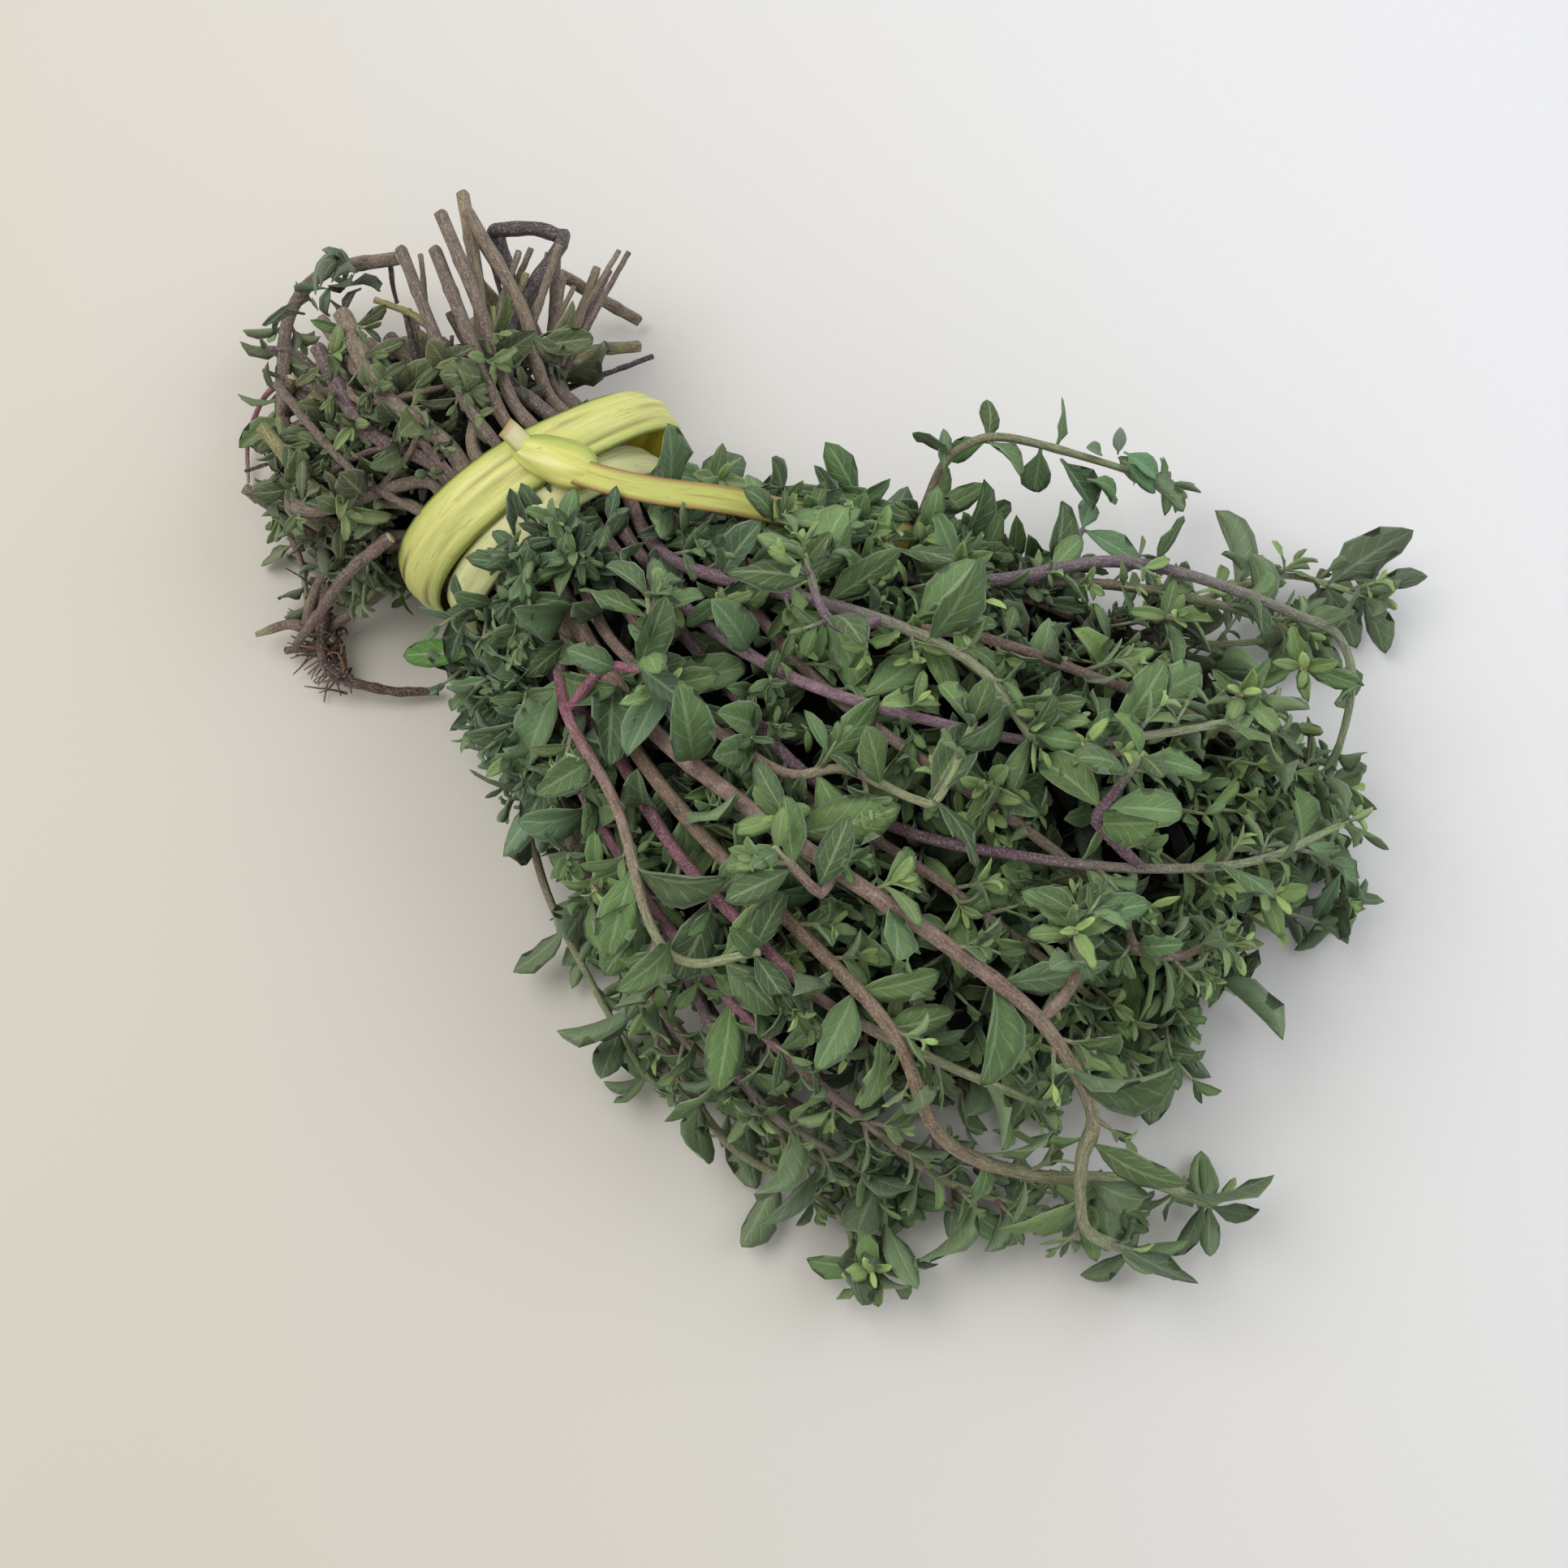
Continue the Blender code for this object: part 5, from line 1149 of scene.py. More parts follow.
piece("heart_core", [core_skin(0.86)], (INSIDE,), ["heart"])
wanted = core_leaves_wanted()
rng = np.random.default_rng([SEED, 1400])
standing = [{**leaf, "colour": leaf_colour(leaf["root"], 0.1, rng)}
            for leaf in leaves_of_node("heart", wanted)]
leaves, twigs = heart_shoots(CUT_SHOOTS, (-124, -91), 51, 0.72, 0.2)
rng = np.random.default_rng([SEED, 1440])
cy, cz, hw, hh = core_at(HIDDEN_STEMS_AT)
for k in range(HIDDEN_STEMS):
    angle, out = k * SPIRAL_TURN, 0.92 * math.sqrt((k + 0.5) / HIDDEN_STEMS)
    skin = np.interp(out, (0.4, 0.86), (-125, -114))
    inner = np.array([skin + 9, cy + out * hw * math.cos(angle), cz + out * hh * math.sin(angle)])
    cut = inner + (-rng.uniform(11, 17), *rng.normal(0, 0.9, 2))
    path = smooth_curve(np.array([inner, (inner + cut) / 2 + (0, *rng.normal(0, 0.4, 2)), cut]), 2.0)
    path[:, 2] = np.maximum(path[:, 2], 2.2)
    colours = [rng.choice(HIDDEN_STEM_COLOURS), rng.choice(HIDDEN_STEM_COLOURS)]
    own = blended(colours, [0, 1], np.linspace(0, 1, len(path)))
    square = 1 + 0.06 * np.cos(8 * math.pi * np.arange(HIDDEN_STEM_SIDES) / HIDDEN_STEM_SIDES)
    reach = rng.uniform(1.2, 1.85) * square[None] * np.ones((len(path), 1))
    # Painted shade: the cut stems darken where they sit within the core's outline
    twigs.append(tube(path, reach, own, (-60, -20, 0.3)))
collar, collar_twigs = heart_shoots(COLLAR_SHOOTS, (-67, -42), 52, 0.85, 0.25, 1.12, (-0.5, 0.7))
skirt, skirt_twigs = heart_shoots(SKIRT_SHOOTS, (-66, -38), 53, 1.15, 0.25, 1.15, (-0.4, 0.6), (2.7, 3.75))
low, low_twigs = heart_shoots(SKIRT_SHOOTS // 2, (-97, -78), 54, 0.8, 0.3, 1.0, (-0.4, 0.6), (2.9, 3.85))
piece("heart_leaves_cut_end", [leaf_skins(standing, LARGE, 13), leaf_skins(leaves, MEDIUM, 14), *twigs],
      (LEAF, STEM), ["heart"])
piece("heart_leaves_collar", [leaf_skins(collar + skirt + low, MEDIUM, 15), *collar_twigs, *skirt_twigs,
                              *low_twigs],
      (LEAF, STEM), ["heart"])

rng = np.random.default_rng([SEED, 1450])
strip = smooth_curve(TAIL, 1.0)
cover = []
for k in range(TAIL_COVER):
    at = strip[int(len(strip) * (0.38 + 0.62 * k / TAIL_COVER))]
    away = unit(np.array([0.55, -0.83, 0.0])) * (-1) ** k
    base = at + away * rng.uniform(3.0, 5.5) - np.array([rng.uniform(0, 6), 0, 3.0])
    lean = unit(np.array([rng.uniform(0.2, 0.9), 0, rng.uniform(0.6, 1.0)]) - away * rng.uniform(0.2, 0.7))
    twig = np.array([base + lean * reach for reach in (0.0, 3.5, 7.0)])
    cover += shoot_leaves(twig, rng.uniform(9, 14), 3, np.array([0, 0, 1.0]), rng, rng.choice((0.1, 0.6)))
piece("heart_leaves_over_strip", [leaf_skins(cover, MEDIUM, 16)], (LEAF,), ["heart"])

# Rosettes of young leaves that face the eye, at the ends of short side shoots
ROSETTES = [
    (-34, 4, 58), (-27, 12, 57), (10, -11, 63), (33, -33, 54), (74, -53, 10), (30, 34, 62),
    (32, 18, 63), (39, 36, 61), (52, 68, 46), (56, 85, 34), (-49, 32, 42), (-30, 36, 47),
    (-23, 41, 46), (60, 10, 59), (-23, -7, 57), (80, 47, 32), (44, 40, 58), (-3, 51, 44),
    (-9, -40, 44), (32, 73, 40), (94, -18, 20),
]
rng = np.random.default_rng([SEED, 1470])
young, stalks = [], []
for place in ROSETTES:
    heading = unit(TO_EYE + rng.normal(0, 0.3, 3))
    path = np.array(place) + heading * np.array([-9, -4, -1, 2])[:, None]
    path[:, 2] = np.maximum(path[:, 2], 1.2)
    young += shoot_leaves(path[1:], rng.uniform(10, 12.5), 4, heading, rng, rng.uniform(0.7, 1.2), 0.1)
    stalks.append(tube(path, np.full((4, 6), 0.8), np.tile(linear("#8A8A6C"), (4, 1))))
piece("heart_rosettes", [leaf_skins(young, MEDIUM, 18), *stalks], (LEAF, STEM), ["heart"])

for part, x_range in enumerate([(-46, -12), (-12, 16), (16, 42), (42, 82)]):
    leaves, twigs = heart_shoots(HEAD_SHOOTS // 4, x_range, 60 + part, 1.0, 0.7)
    # Painted shade: the heart's leaves darken almost to black towards the core
    skins = leaf_skins(leaves, MEDIUM, 20 + part, (3, 13, 0.005))
    piece(f"heart_leaves_{part + 1}", [skins, *twigs], (LEAF, STEM), ["heart"])

# The cut end
# Behind the tie the stems were cut or torn off at many lengths. Thin dry twigs and stubs stand among them,
# one bent stem carries a clump of withered leaves, and one still has its root, with fine brittle root hairs.
STUBS = 22
ROOT_HAIRS = 90
CLUMP_LEAVES = 17
TWIGS = [
    ([(-135, 5, 30), (-116, 0, 41), (-99, -2, 45), (-85, -3, 45), (-79, -3, 43)], 2.6, "#6E5C54"),
    ([(-134, -10, 24), (-113, -14, 38), (-98, -15, 42), (-84, -12, 43)], 2.1, "#6A5A50"),
    ([(-87, -19, 39), (-90, -29, 33), (-94, -38, 18), (-97, -44, 7)], 2.6, "#6B5750"),
    ([(-95, 26, 20), (-90, 35, 22), (-85, 49, 20)], 1.5, "#3B353A"),
    ([(-126, -8, 22), (-132, -14, 17), (-134, -21, 12), (-129, -16, 10)], 1.2, "#3A3034"),
    ([(-127, -15, 12), (-130, -20, 8), (-134, -25, 5)], 1.1, "#3A3034"),
    ([(-128, -3, 27), (-134, -3, 28), (-141, -6, 25)], 1.5, "#55463F"),
    ([(-126, -6, 25), (-133, -7, 22), (-141, -9, 19)], 1.3, "#4A3C38"),
    ([(-139, 26, 23), (-138, 24, 16), (-137, 23, 10)], 1.3, "#5A4A44"),
    ([(-118, -3, 38), (-108, -4, 45), (-100, 9, 44)], 1.6, "#7A6857"),
    ([(-109, -21, 32), (-102, -11, 42), (-94, -3, 45)], 1.5, "#5F4C4A"),
    ([(-95, -15, 41), (-94, -6, 46), (-98, 3, 46)], 1.4, "#6B5A4C"),
    ([(-93, 14, 36), (-99, 21, 41), (-107, 28, 41)], 1.7, "#8C8F50"),
    ([(-103, 12, 36), (-115, 17, 38), (-127, 14, 37)], 1.9, "#85804F"),
    ([(-132, -7, 26), (-129, -16, 17), (-121, -23, 10), (-112, -29, 5)], 2.4, "#65554A"),
    ([(-124, -14, 22), (-118, -19, 24), (-108, -24, 20), (-99, -29, 12)], 1.8, "#5B4A42"),
    ([(-121, 3, 30), (-112, -8, 38), (-104, -17, 36), (-97, -26, 26)], 1.5, "#5D4C46"),
    ([(-100, -31, 12), (-94, -39, 9), (-88, -43, 7), (-78, -38, 4.5), (-70, -30, 3)], 2.6, "#523F38"),
    ([(-92, -38, 9), (-95, -42, 6), (-99, -46, 3.5)], 2.2, "#5A443B"),
]


def dry_twig(points, thickness, colour, rng, tip=0.72):
    """A thin dry stem: a seven-sided tube whose skin stands in and out at random by a tenth, thinner at its
    tip."""
    path = smooth_curve(np.array(points, float), 1.3)
    share = np.linspace(0, 1, len(path))
    reach = thickness / 2 * (1 - (1 - tip) * share)[:, None] * (1 + rng.normal(0, 0.09, (len(path), 7)))
    path[:, 2] = np.maximum(path[:, 2], thickness / 2 + 0.3)
    return tube(path, reach, blended([colour, colour], [0, 1], share))


rng = np.random.default_rng([SEED, 1500])
twigs = [dry_twig(points, thickness, colour, rng) for points, thickness, colour in TWIGS]
for k in range(STUBS):
    share = (k + rng.random()) / STUBS
    base = np.array([-108 + 18 * share, 4 + 26 * share, rng.uniform(17, 34)])
    heading = math.radians(134 + rng.uniform(-34, 26))
    ahead = np.array([math.cos(heading), math.sin(heading), rng.uniform(-0.05, 0.4)])
    length = rng.uniform(17, 36)
    bend = rng.normal(0, 1.3, 3)
    points = [base - ahead * 4, base + ahead * length * 0.4 + bend, base + ahead * length]
    thickness, colour = rng.uniform(1.1, 2.4), CUT_COLOURS[int(rng.integers(len(CUT_COLOURS)))]
    twigs.append(dry_twig(points, thickness, colour, rng))
piece("cut_end_twigs", twigs, (LEAF, STEM), ["heart"])

CLUMP = np.array([-142.0, 11.0, 24.0])
withered = []
for k in range(CLUMP_LEAVES):
    along = unit(np.array([rng.uniform(-1, 0.6), rng.uniform(-0.9, 1.0), rng.uniform(-0.5, 0.7)]))
    up = unit(np.cross(along, rng.normal(0, 1, 3)))
    colour = linear(("#3B3D37", "#5E6F5E", "#2F2B29", "#4A4A42", "#66775F")[k % 5])
    withered.append({
        "root": CLUMP + rng.normal(0, 1, 3) * (2.0, 4.0, 2.2), "along": along, "up": up,
        "length": rng.uniform(6, 10),
        "width": rng.uniform(2.6, 4.2), "arch": rng.uniform(0.9, 2.4), "fold": rng.uniform(0.6, 1.2),
        "wave": rng.uniform(-0.3, 0.3), "colour": colour,
    })
piece("withered_leaf_clump", [leaf_skins(withered, MEDIUM, 17)], (LEAF,), ["crimson_sprig"])

hairs = []
for k in range(ROOT_HAIRS):
    share = rng.random()
    base = np.array([-99 + 14 * share, -34 - 8 * share, rng.uniform(2, 9)])
    base = base + rng.normal(0, 1.2, 3) * (1, 1, 0.3)
    out = unit(np.array([rng.uniform(-1, 0.3), rng.uniform(-1, 0.2), rng.uniform(-0.5, 0.3)]))
    length = rng.uniform(3, 9)
    middle = base + out * length * 0.5 + rng.normal(0, 0.8, 3)
    points = [base, middle, base + out * length + rng.normal(0, 1.4, 3)]
    path = smooth_curve(np.maximum(points, (-500, -500, 0.5)), 2.2)
    reach = np.linspace(0.32, 0.14, len(path))[:, None] * np.ones((1, 4))
    brown = linear(("#5A4234", "#3B2D28", "#7A5540")[k % 3])
    hairs.append(tube(path, reach, np.tile(brown, (len(path), 1))))
piece("root_hairs", hairs, (LEAF, STEM), ["edge_sprig"])

# The tie
# One long blade of a reed-like leaf, wound twice round the neck and knotted. It is yellow green, paler
# inside, with fine veins along it, greener edges, and brown creases where it was bent.
STRIPS_ACROSS = 14


def strip_skin(path, across, width, thickness, shape, colour_at):
    """A closed strip along a path. Across it, at u from -1 to 1, the middle line rises by shape(u), and the
    two faces stand half the thickness to either side, thinning to the edge by 1 - u^4."""
    n, c = len(path), STRIPS_ACROSS
    t = tangents(path)
    w = unit(across - t * (across * t).sum(1, keepdims=True))
    out = np.cross(t, w)
    u = np.concatenate([np.linspace(-1, 1, c + 1), np.linspace(1, -1, c + 1)[1:-1]])
    face = np.concatenate([np.ones(c + 1), -np.ones(c - 1)])
    face[[0, c]] = 0
    half = np.broadcast_to(np.asarray(width, float) / 2, (n,))[:, None]
    rise = shape(u[None], np.linspace(0, 1, n)[:, None]) + face * thickness / 2 * (1 - u[None] ** 4)
    co = path[:, None] + w[:, None] * (half * u[None])[..., None] + out[:, None] * rise[..., None]
    m = 2 * c
    k, q = (v.ravel() for v in np.meshgrid(np.arange(n - 1), np.arange(m), indexing="ij"))
    low, high = k * m + q, k * m + (q + 1) % m
    quads = np.stack([low, low + m, high + m, high], axis=1)
    far = np.append(0, np.cumsum(np.linalg.norm(np.diff(path, axis=0), axis=1))) / 10
    a0 = np.where(q < c, q / c, 2 + (m - q) / c)
    a1 = np.where(q < c, (q + 1) / c, 2 + (m - q - 1) / c)
    uv = np.stack([a0, far[k], a0, far[k + 1], a1, far[k + 1], a1, far[k]], axis=1).reshape(-1, 2)
    caps = np.concatenate([np.arange(m), (n - 1) * m + np.arange(m)[::-1]])
    cap_uv = np.tile((0.5, 0.0), (2 * m, 1))
    colour = colour_at(np.tile(u, n), np.repeat(np.linspace(0, 1, n), m), np.tile(face, n))
    return {
        "co": co.reshape(-1, 3), "corners": np.concatenate([quads.ravel(), caps]),
        "sizes": np.concatenate([np.full(len(quads), 4), [m, m]]), "uv": np.vstack([uv, cap_uv]),
        "tint": colour,
        "material": np.zeros(len(quads) + 2, int),
    }


def flat_colour(stops, folds=(), inner=None, green=0.6):
    """A colour that changes along the strip, from the places (0 to 1) and colours given: greener at its
    edges, brown along each fold (its place across, how much that wanders, how strong it is), and another on
    its inner face."""
    places, colours = zip(*stops)

    def colour_at(u, v, face):
        base = blended(colours, places, v)
        edge = np.clip((np.abs(u) - 0.45) / 0.55, 0, 1)[:, None] ** 1.3 * green
        base = base * (1 - edge) + linear(EDGE_GREEN) * edge
        for place, wander, strength in folds:
            line = np.exp(-(((u - place - wander * np.sin(17 * v + 3 * place))
                             / 0.05) ** 2))[:, None] * strength
            line = line * np.clip(0.75 + np.sin(23 * v + 9 * place), 0, 1)[:, None]
            base = base * (1 - line) + linear(CREASE) * line
        if inner:
            base = np.where(face[:, None] < 0, linear(inner), base)
        return base
    return colour_at


PALE, YELLOW, EDGE_GREEN = "#DCDDA4", "#D6D684", "#93AE3E"
OLIVE_FACE, TAN, CREASE = "#B0A831", "#9A6E42", "#6B5530"
# How far the loose loop on the far side stands out, as a share of the bulge given
LOOSE = 1.15


def turn_skin(turn, width, thickness, shape, colour_at, count=170):
    """One turn of the blade round the neck: an ellipse that leans along the bundle and bulges on its far
    upper side, its two ends meeting under the bundle."""
    a = np.linspace(-math.pi / 2, 1.5 * math.pi, count)
    reach = 1 + LOOSE * turn["bulge"] * np.exp(-((((a + math.pi) % (2 * math.pi) - math.pi - 0.38)
                                                  / 0.5) ** 2))
    y = turn["radii"][0] * np.cos(a) * reach
    z = np.maximum(NECK_CENTRE[1] + turn["radii"][1] * np.sin(a) * reach, BLADE_THICKNESS / 2 + 0.6)
    loop = np.stack([turn["x"] + turn["lean"] * y, NECK_CENTRE[0] + y, z], axis=1)
    t = tangents(loop)
    across = np.cross(np.stack([0 * a, np.cos(a), np.sin(a)], axis=1), t)
    return strip_skin(loop, across, width, thickness, shape, colour_at)


def rolled(crown, fold=0.0, folds_at=()):
    """The strip's outline across: it crowns outwards by 1 - u^2, with soft waves along it, and dips at
    folds."""
    def shape(u, v):
        height = crown * (1 - u**2) + fold * np.sin(7 * u + 5 * v + 1.2 * np.sin(9 * v)) * (1 - u**4)
        for place, wander, depth in folds_at:
            height = height - depth * np.exp(-(((u - place - wander * np.sin(17 * v + 3 * place))
                                                / 0.13) ** 2))
        return height
    return shape


def knot_skin(rings=40, sides=40):
    """The knot's swollen lobe: at share s along it the section is an ellipse of size (1 - |s|^2.4)^0.55, with
    soft pleats that run along it and gather at both ends."""
    along = unit(np.array(KNOT_ALONG))
    side = unit(np.cross((0, 0, 1), along))
    up = np.cross(along, side)
    s = np.sin(np.linspace(-math.pi / 2 + 0.12, math.pi / 2 - 0.12, rings))
    a = np.arange(sides) * 2 * math.pi / sides
    size = (1 - np.abs(s) ** 2.4) ** 0.55 * (0.86 + 0.2 * s)
    pleat = 1 + 0.07 * np.sin(7 * a[None] + 2.2 * s[:, None]) * np.abs(s[:, None])
    pleat = pleat + 0.04 * np.cos(3 * a[None] - 2 * s[:, None])
    y = np.cos(a)[None] * size[:, None] * pleat * KNOT_HALF[1]
    z = np.sin(a)[None] * size[:, None] * pleat * KNOT_HALF[2]
    co = (np.array(KNOT_CENTRE) + along * (s * KNOT_HALF[0])[:, None, None] + side * y[..., None] + up
          * z[..., None])
    k, q = (v.ravel() for v in np.meshgrid(np.arange(rings - 1), np.arange(sides), indexing="ij"))
    low, high = k * sides + q, k * sides + (q + 1) % sides
    quads = np.stack([low, high, high + sides, low + sides], axis=1)
    caps = np.concatenate([np.arange(sides)[::-1], (rings - 1) * sides + np.arange(sides)])
    u0, u1, v0, v1 = q / sides * 2, (q + 1) / sides * 2, s[k] * 0.9, s[k + 1] * 0.9
    uv = np.stack([u0, v0, u1, v0, u1, v1, u0, v1], axis=1).reshape(-1, 2)
    across, along_it = np.tile(a, rings)[:, None], np.repeat(s, sides)[:, None]
    green = np.clip(np.cos(across + 0.25) * 1.5, 0, 1) * (1 - 0.3 * along_it) * 0.75 + 0.25 * along_it**4
    # Painted highlight: a pale line along the top of the lobe, fading towards the tail end
    knot_highlight = np.exp(-(((across - 2.0 + 0.25 * along_it) / 0.13) ** 2)) * np.clip(0.75 - along_it, 0, 1)
    tint = linear("#D2D175") * (1 - green) + linear("#8CA83F") * green
    tint = tint * (1 - knot_highlight) + linear("#F0EDB4") * knot_highlight
    return {
        "co": co.reshape(-1, 3), "corners": np.concatenate([quads.ravel(), caps]),
        "sizes": np.concatenate([np.full(len(quads), 4), [sides, sides]]),
        "uv": np.vstack([uv, np.full((2 * sides, 2), 0.5)]),
        "tint": tint,
        "material": np.zeros(len(quads) + 2, int),
    }


# Fresh reed-like leaf blade: smooth and a little waxy, with straight parallel veins about 0.4 mm apart, drawn
# at 0.7 mm so that they show, and creases that have gone brown.
BLADE_SKIN, tree, shader = finish_of("fresh_leaf_blade", Roughness=0.42, Specular_IOR_Level=0.45,
                                     Coat_Weight=0.08, Coat_Roughness=0.4)
own = node(tree, "ShaderNodeAttribute", attribute_name="tint")
uv = node(tree, "ShaderNodeUVMap", uv_map="UVMap")
fine = node(tree, "ShaderNodeMapping", {"Vector": uv, "Scale": (15.0, 0.35, 1.0)})
fibres = node(tree, "ShaderNodeTexNoise", {"Vector": fine, "Scale": 3.0, "Detail": 3.0, "Roughness": 0.6})
broad = node(tree, "ShaderNodeMapping", {"Vector": uv, "Scale": (2.2, 0.3, 1.0)})
stain = node(tree, "ShaderNodeTexNoise", {"Vector": broad, "Scale": 2.1, "Detail": 2.0, "Distortion": 0.6})
streak = node(tree, "ShaderNodeMapRange", {0: fibres, 1: 0.25, 2: 0.75, 3: 0.8, 4: 1.18})
body = node(tree, "ShaderNodeMix", {0: 1.0, 6: own, 7: streak}, out=2, data_type="RGBA",
            blend_type="MULTIPLY")
share = node(tree, "ShaderNodeMapRange", {0: stain, 1: 0.52, 2: 0.72, 3: 0.0, 4: 0.45})
body = node(tree, "ShaderNodeMix", {0: share, 6: body, 7: linear("#B4BE5C")}, out=2, data_type="RGBA")
crease = node(tree, "ShaderNodeMapping", {"Vector": uv, "Location": (3.1, 7.7, 0.0),
                                          "Scale": (3.4, 0.22, 1.0)})
crease = node(tree, "ShaderNodeTexNoise", {"Vector": crease, "Scale": 2.6, "Detail": 3.0, "Distortion": 0.4})
crease = node(tree, "ShaderNodeMath", {0: crease, 1: 0.5}, operation="SUBTRACT")
crease = node(tree, "ShaderNodeMath", {0: crease}, operation="ABSOLUTE")
crease = node(tree, "ShaderNodeMapRange", {0: crease, 1: 0.0, 2: 0.012, 3: 0.5, 4: 0.0})
gate = node(tree, "ShaderNodeMapRange", {0: stain, 1: 0.42, 2: 0.5, 3: 1.0, 4: 0.0})
crease = node(tree, "ShaderNodeMath", {0: crease, 1: gate}, operation="MULTIPLY")
body = node(tree, "ShaderNodeMix", {0: crease, 6: body, 7: linear("#8A7440")}, out=2, data_type="RGBA")
tree.links.new(body, shader.inputs["Base Color"])
relief = node(tree, "ShaderNodeMath", {0: crease, 1: -1.5, 2: fibres}, operation="MULTIPLY_ADD")
tree.links.new(node(tree, "ShaderNodeBump", {"Strength": 0.35, "Distance": 0.0004, "Height": relief}),
               shader.inputs["Normal"])

tail = smooth_curve(TAIL, 1.6)
stub = smooth_curve(CUT_END, 0.8)[:8]
lay_flat = np.array([0.0, 0.0, 1.0])
tail_colour = flat_colour([(0, "#CDCB6E"), (0.15, "#BDBF66"), (0.5, "#B5B85E"), (1, "#A9A656")],
                          [(0.1, 0.08, 0.6)])


def browned(u, v, face):
    """The tail's colour, with tan along both folded edges."""
    colour = tail_colour(u, v, face)
    tan = np.clip((np.abs(u) - 0.6) / 0.25, 0, 1)[:, None] * 0.85
    return colour * (1 - tan) + linear(TAN) * tan


WIDE_FOLDS = [(-0.38, 0.06, 0.9), (0.5, 0.08, 0.8), (0.15, 0.1, 0.45)]
piece("leaf_strip_wound", [
    turn_skin(WIDE_TURN, WIDE_TURN_WIDTH * 1.15, BLADE_THICKNESS,
              rolled(1.7, 0.2, [(-0.38, 0.06, 0.5), (0.5, 0.08, 0.4)]),
              flat_colour([(0, YELLOW), (1, YELLOW)], WIDE_FOLDS, OLIVE_FACE)),
    turn_skin(PALE_TURN, PALE_TURN_WIDTH * 1.1, BLADE_THICKNESS * 0.8, rolled(0.5, 0.15),
              flat_colour([(0, PALE), (1, PALE)], [(0.2, 0.1, 0.25)], OLIVE_FACE, 0.25)),
    knot_skin(),
    strip_skin(stub, np.cross(lay_flat, tangents(stub)), CUT_END_WIDTH, 1.0, rolled(0.5, 0.1),
               flat_colour([(0, "#D9D79A"), (0.7, "#E2D9B4"), (1, "#B08A5E")])),
    strip_skin(tail, np.cross(lay_flat, tangents(tail)), TAIL_WIDTH * 1.1, TAIL_THICKNESS, rolled(-0.7, 0.12),
               browned),
], (BLADE_SKIN,), ["leaf_strip_tie"])

# The table, the light and the camera
# The bundle lies on a large sheet of smooth off-white paper. Warm light comes from the left and cooler light
# from the upper right, both broad and soft, and the camera looks down from above the near side. The paper's
# colour also carries painted light: darker and warmer towards the lower left, lighter and cooler towards the
# upper right.

PAPER, tree, shader = finish_of("smooth_paper", Roughness=0.8, Specular_IOR_Level=0.2)
spot = node(tree, "ShaderNodeTexCoord", out="Object")
grain = node(tree, "ShaderNodeTexNoise", {"Vector": spot, "Scale": 420.0, "Detail": 4.0, "Roughness": 0.6})
# Painted light: the paper darkens and warms towards the lower left and lightens and cools towards the upper
# right
side = node(tree, "ShaderNodeVectorMath", {0: spot, 1: (0.45, 0.89, 0.0)}, out=1, operation="DOT_PRODUCT")
share = node(tree, "ShaderNodeMapRange", {0: side, 1: -0.2, 2: 0.2, 3: 0.0, 4: 1.0},
             interpolation_type="SMOOTHSTEP")
body = node(tree, "ShaderNodeMix", {0: share, 6: linear("#CFCAC0"), 7: linear("#E6E7EB")}, out=2,
            data_type="RGBA")
share = node(tree, "ShaderNodeMath", {0: grain, 1: 0.08}, operation="MULTIPLY")
body = node(tree, "ShaderNodeMix", {0: share, 6: body, 7: linear("#C9C6C0")}, out=2, data_type="RGBA")
tree.links.new(body, shader.inputs["Base Color"])
tree.links.new(node(tree, "ShaderNodeBump", {"Strength": 0.12, "Distance": 0.0005, "Height": grain}),
               shader.inputs["Normal"])
table = bpy.data.meshes.new("paper")
table.from_pydata([(-2.5, -2.5, 0), (2.5, -2.5, 0), (2.5, 2.5, 0), (-2.5, 2.5, 0)], [], [(0, 1, 2, 3)])
table.materials.append(PAPER)
floor = bpy.data.objects.new("paper", table)
bpy.context.scene.collection.objects.link(floor)

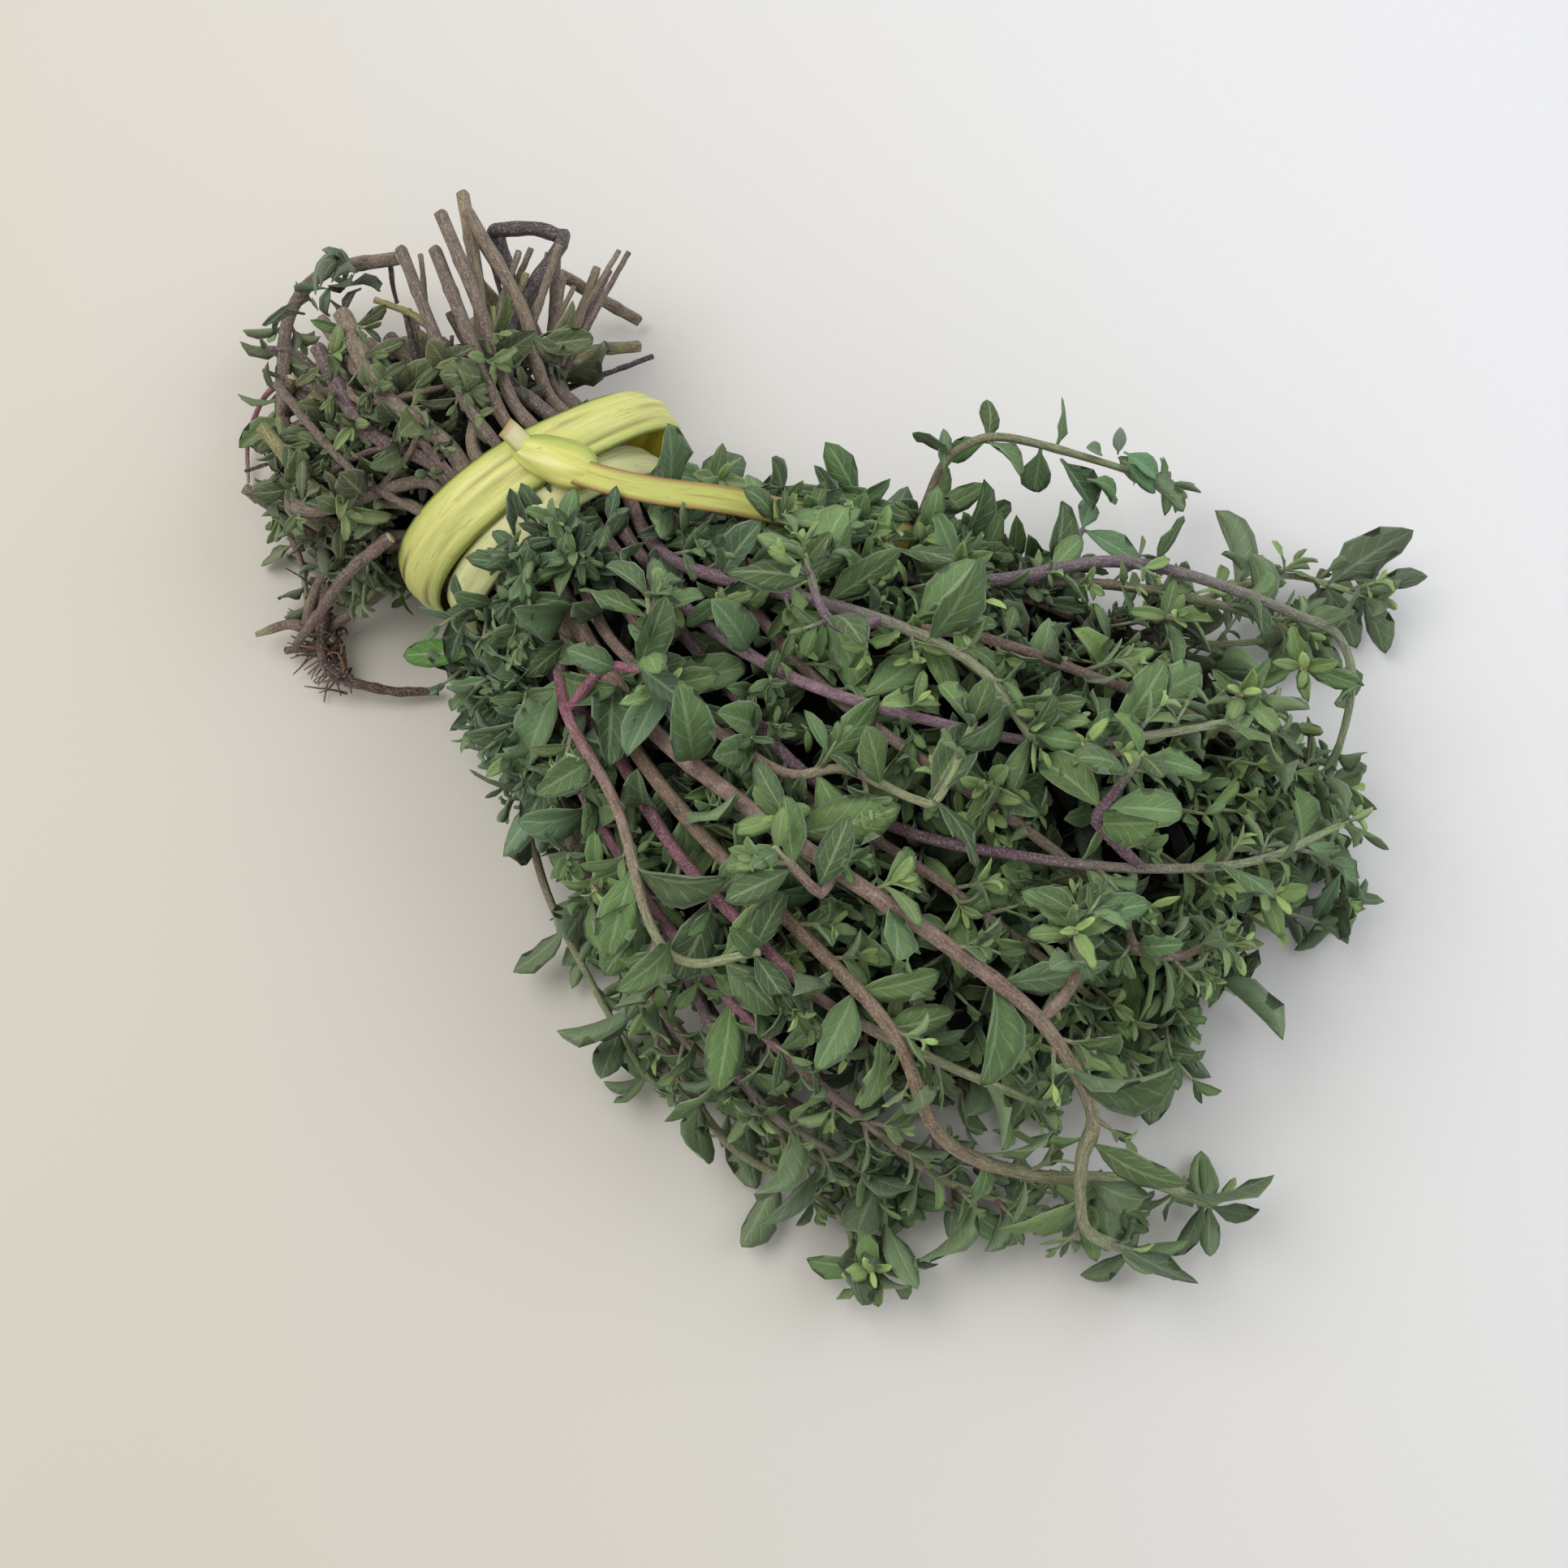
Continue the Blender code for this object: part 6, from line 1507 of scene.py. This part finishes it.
CAMERA_TURN, CAMERA_HEIGHT, FIELD = math.radians(44), math.radians(75), math.radians(40)
AIM = (np.array([0.0, 0.0, 30.0]) - MIDDLE) * MM
DISTANCE = 0.41138
back = np.array([math.sin(CAMERA_TURN) * math.cos(CAMERA_HEIGHT),
                 -math.cos(CAMERA_TURN) * math.cos(CAMERA_HEIGHT), math.sin(CAMERA_HEIGHT)])
right = np.array([math.cos(CAMERA_TURN), math.sin(CAMERA_TURN), 0.0])
image_up = np.cross(back, right)


def aimed_at(obj, place, target):
    """Puts a light or camera at a place and turns it to face a target."""
    obj.location = place
    bpy.context.scene.collection.objects.link(obj)
    obj.rotation_euler = (Vector(target) - Vector(place)).to_track_quat("-Z", "Y").to_euler()
    return obj


camera = bpy.data.objects.new("camera", bpy.data.cameras.new("camera"))
camera.data.sensor_width = 36
camera.data.angle = FIELD
camera.data.clip_start = 0.01
camera.location = AIM + back * DISTANCE
camera.matrix_world = Matrix((
    (*[right[0], image_up[0], back[0]], camera.location[0]),
    (*[right[1], image_up[1], back[1]], camera.location[1]),
    (*[right[2], image_up[2], back[2]], camera.location[2]), (0, 0, 0, 1)))
bpy.context.scene.collection.objects.link(camera)
bpy.context.scene.camera = camera

for name, share, size, energy, colour in (
        ("cool_window", (0.7, 0.2, 0.8), 0.8, 3.2, (0.85, 0.93, 1.0)),
        ("warm_window", (-0.45, 0.15, 0.8), 0.7, 4.2, (1.0, 0.97, 0.92)),
):
    lamp = bpy.data.lights.new(name, "AREA")
    lamp.shape, lamp.size, lamp.energy, lamp.color = "DISK", size, energy, colour
    at = right * share[0] + image_up * share[1] * np.array([1, 1, 0]) + np.array([0, 0, share[2]])
    aimed_at(bpy.data.objects.new(name, lamp), at, (0, 0, 0))

world = bpy.data.worlds.new("room")
world.use_nodes = True
world.node_tree.nodes["Background"].inputs["Color"].default_value = (1.0, 0.98, 0.95, 1)
world.node_tree.nodes["Background"].inputs["Strength"].default_value = 0.6
bpy.context.scene.world = world
bpy.context.scene.view_settings.view_transform = "Standard"
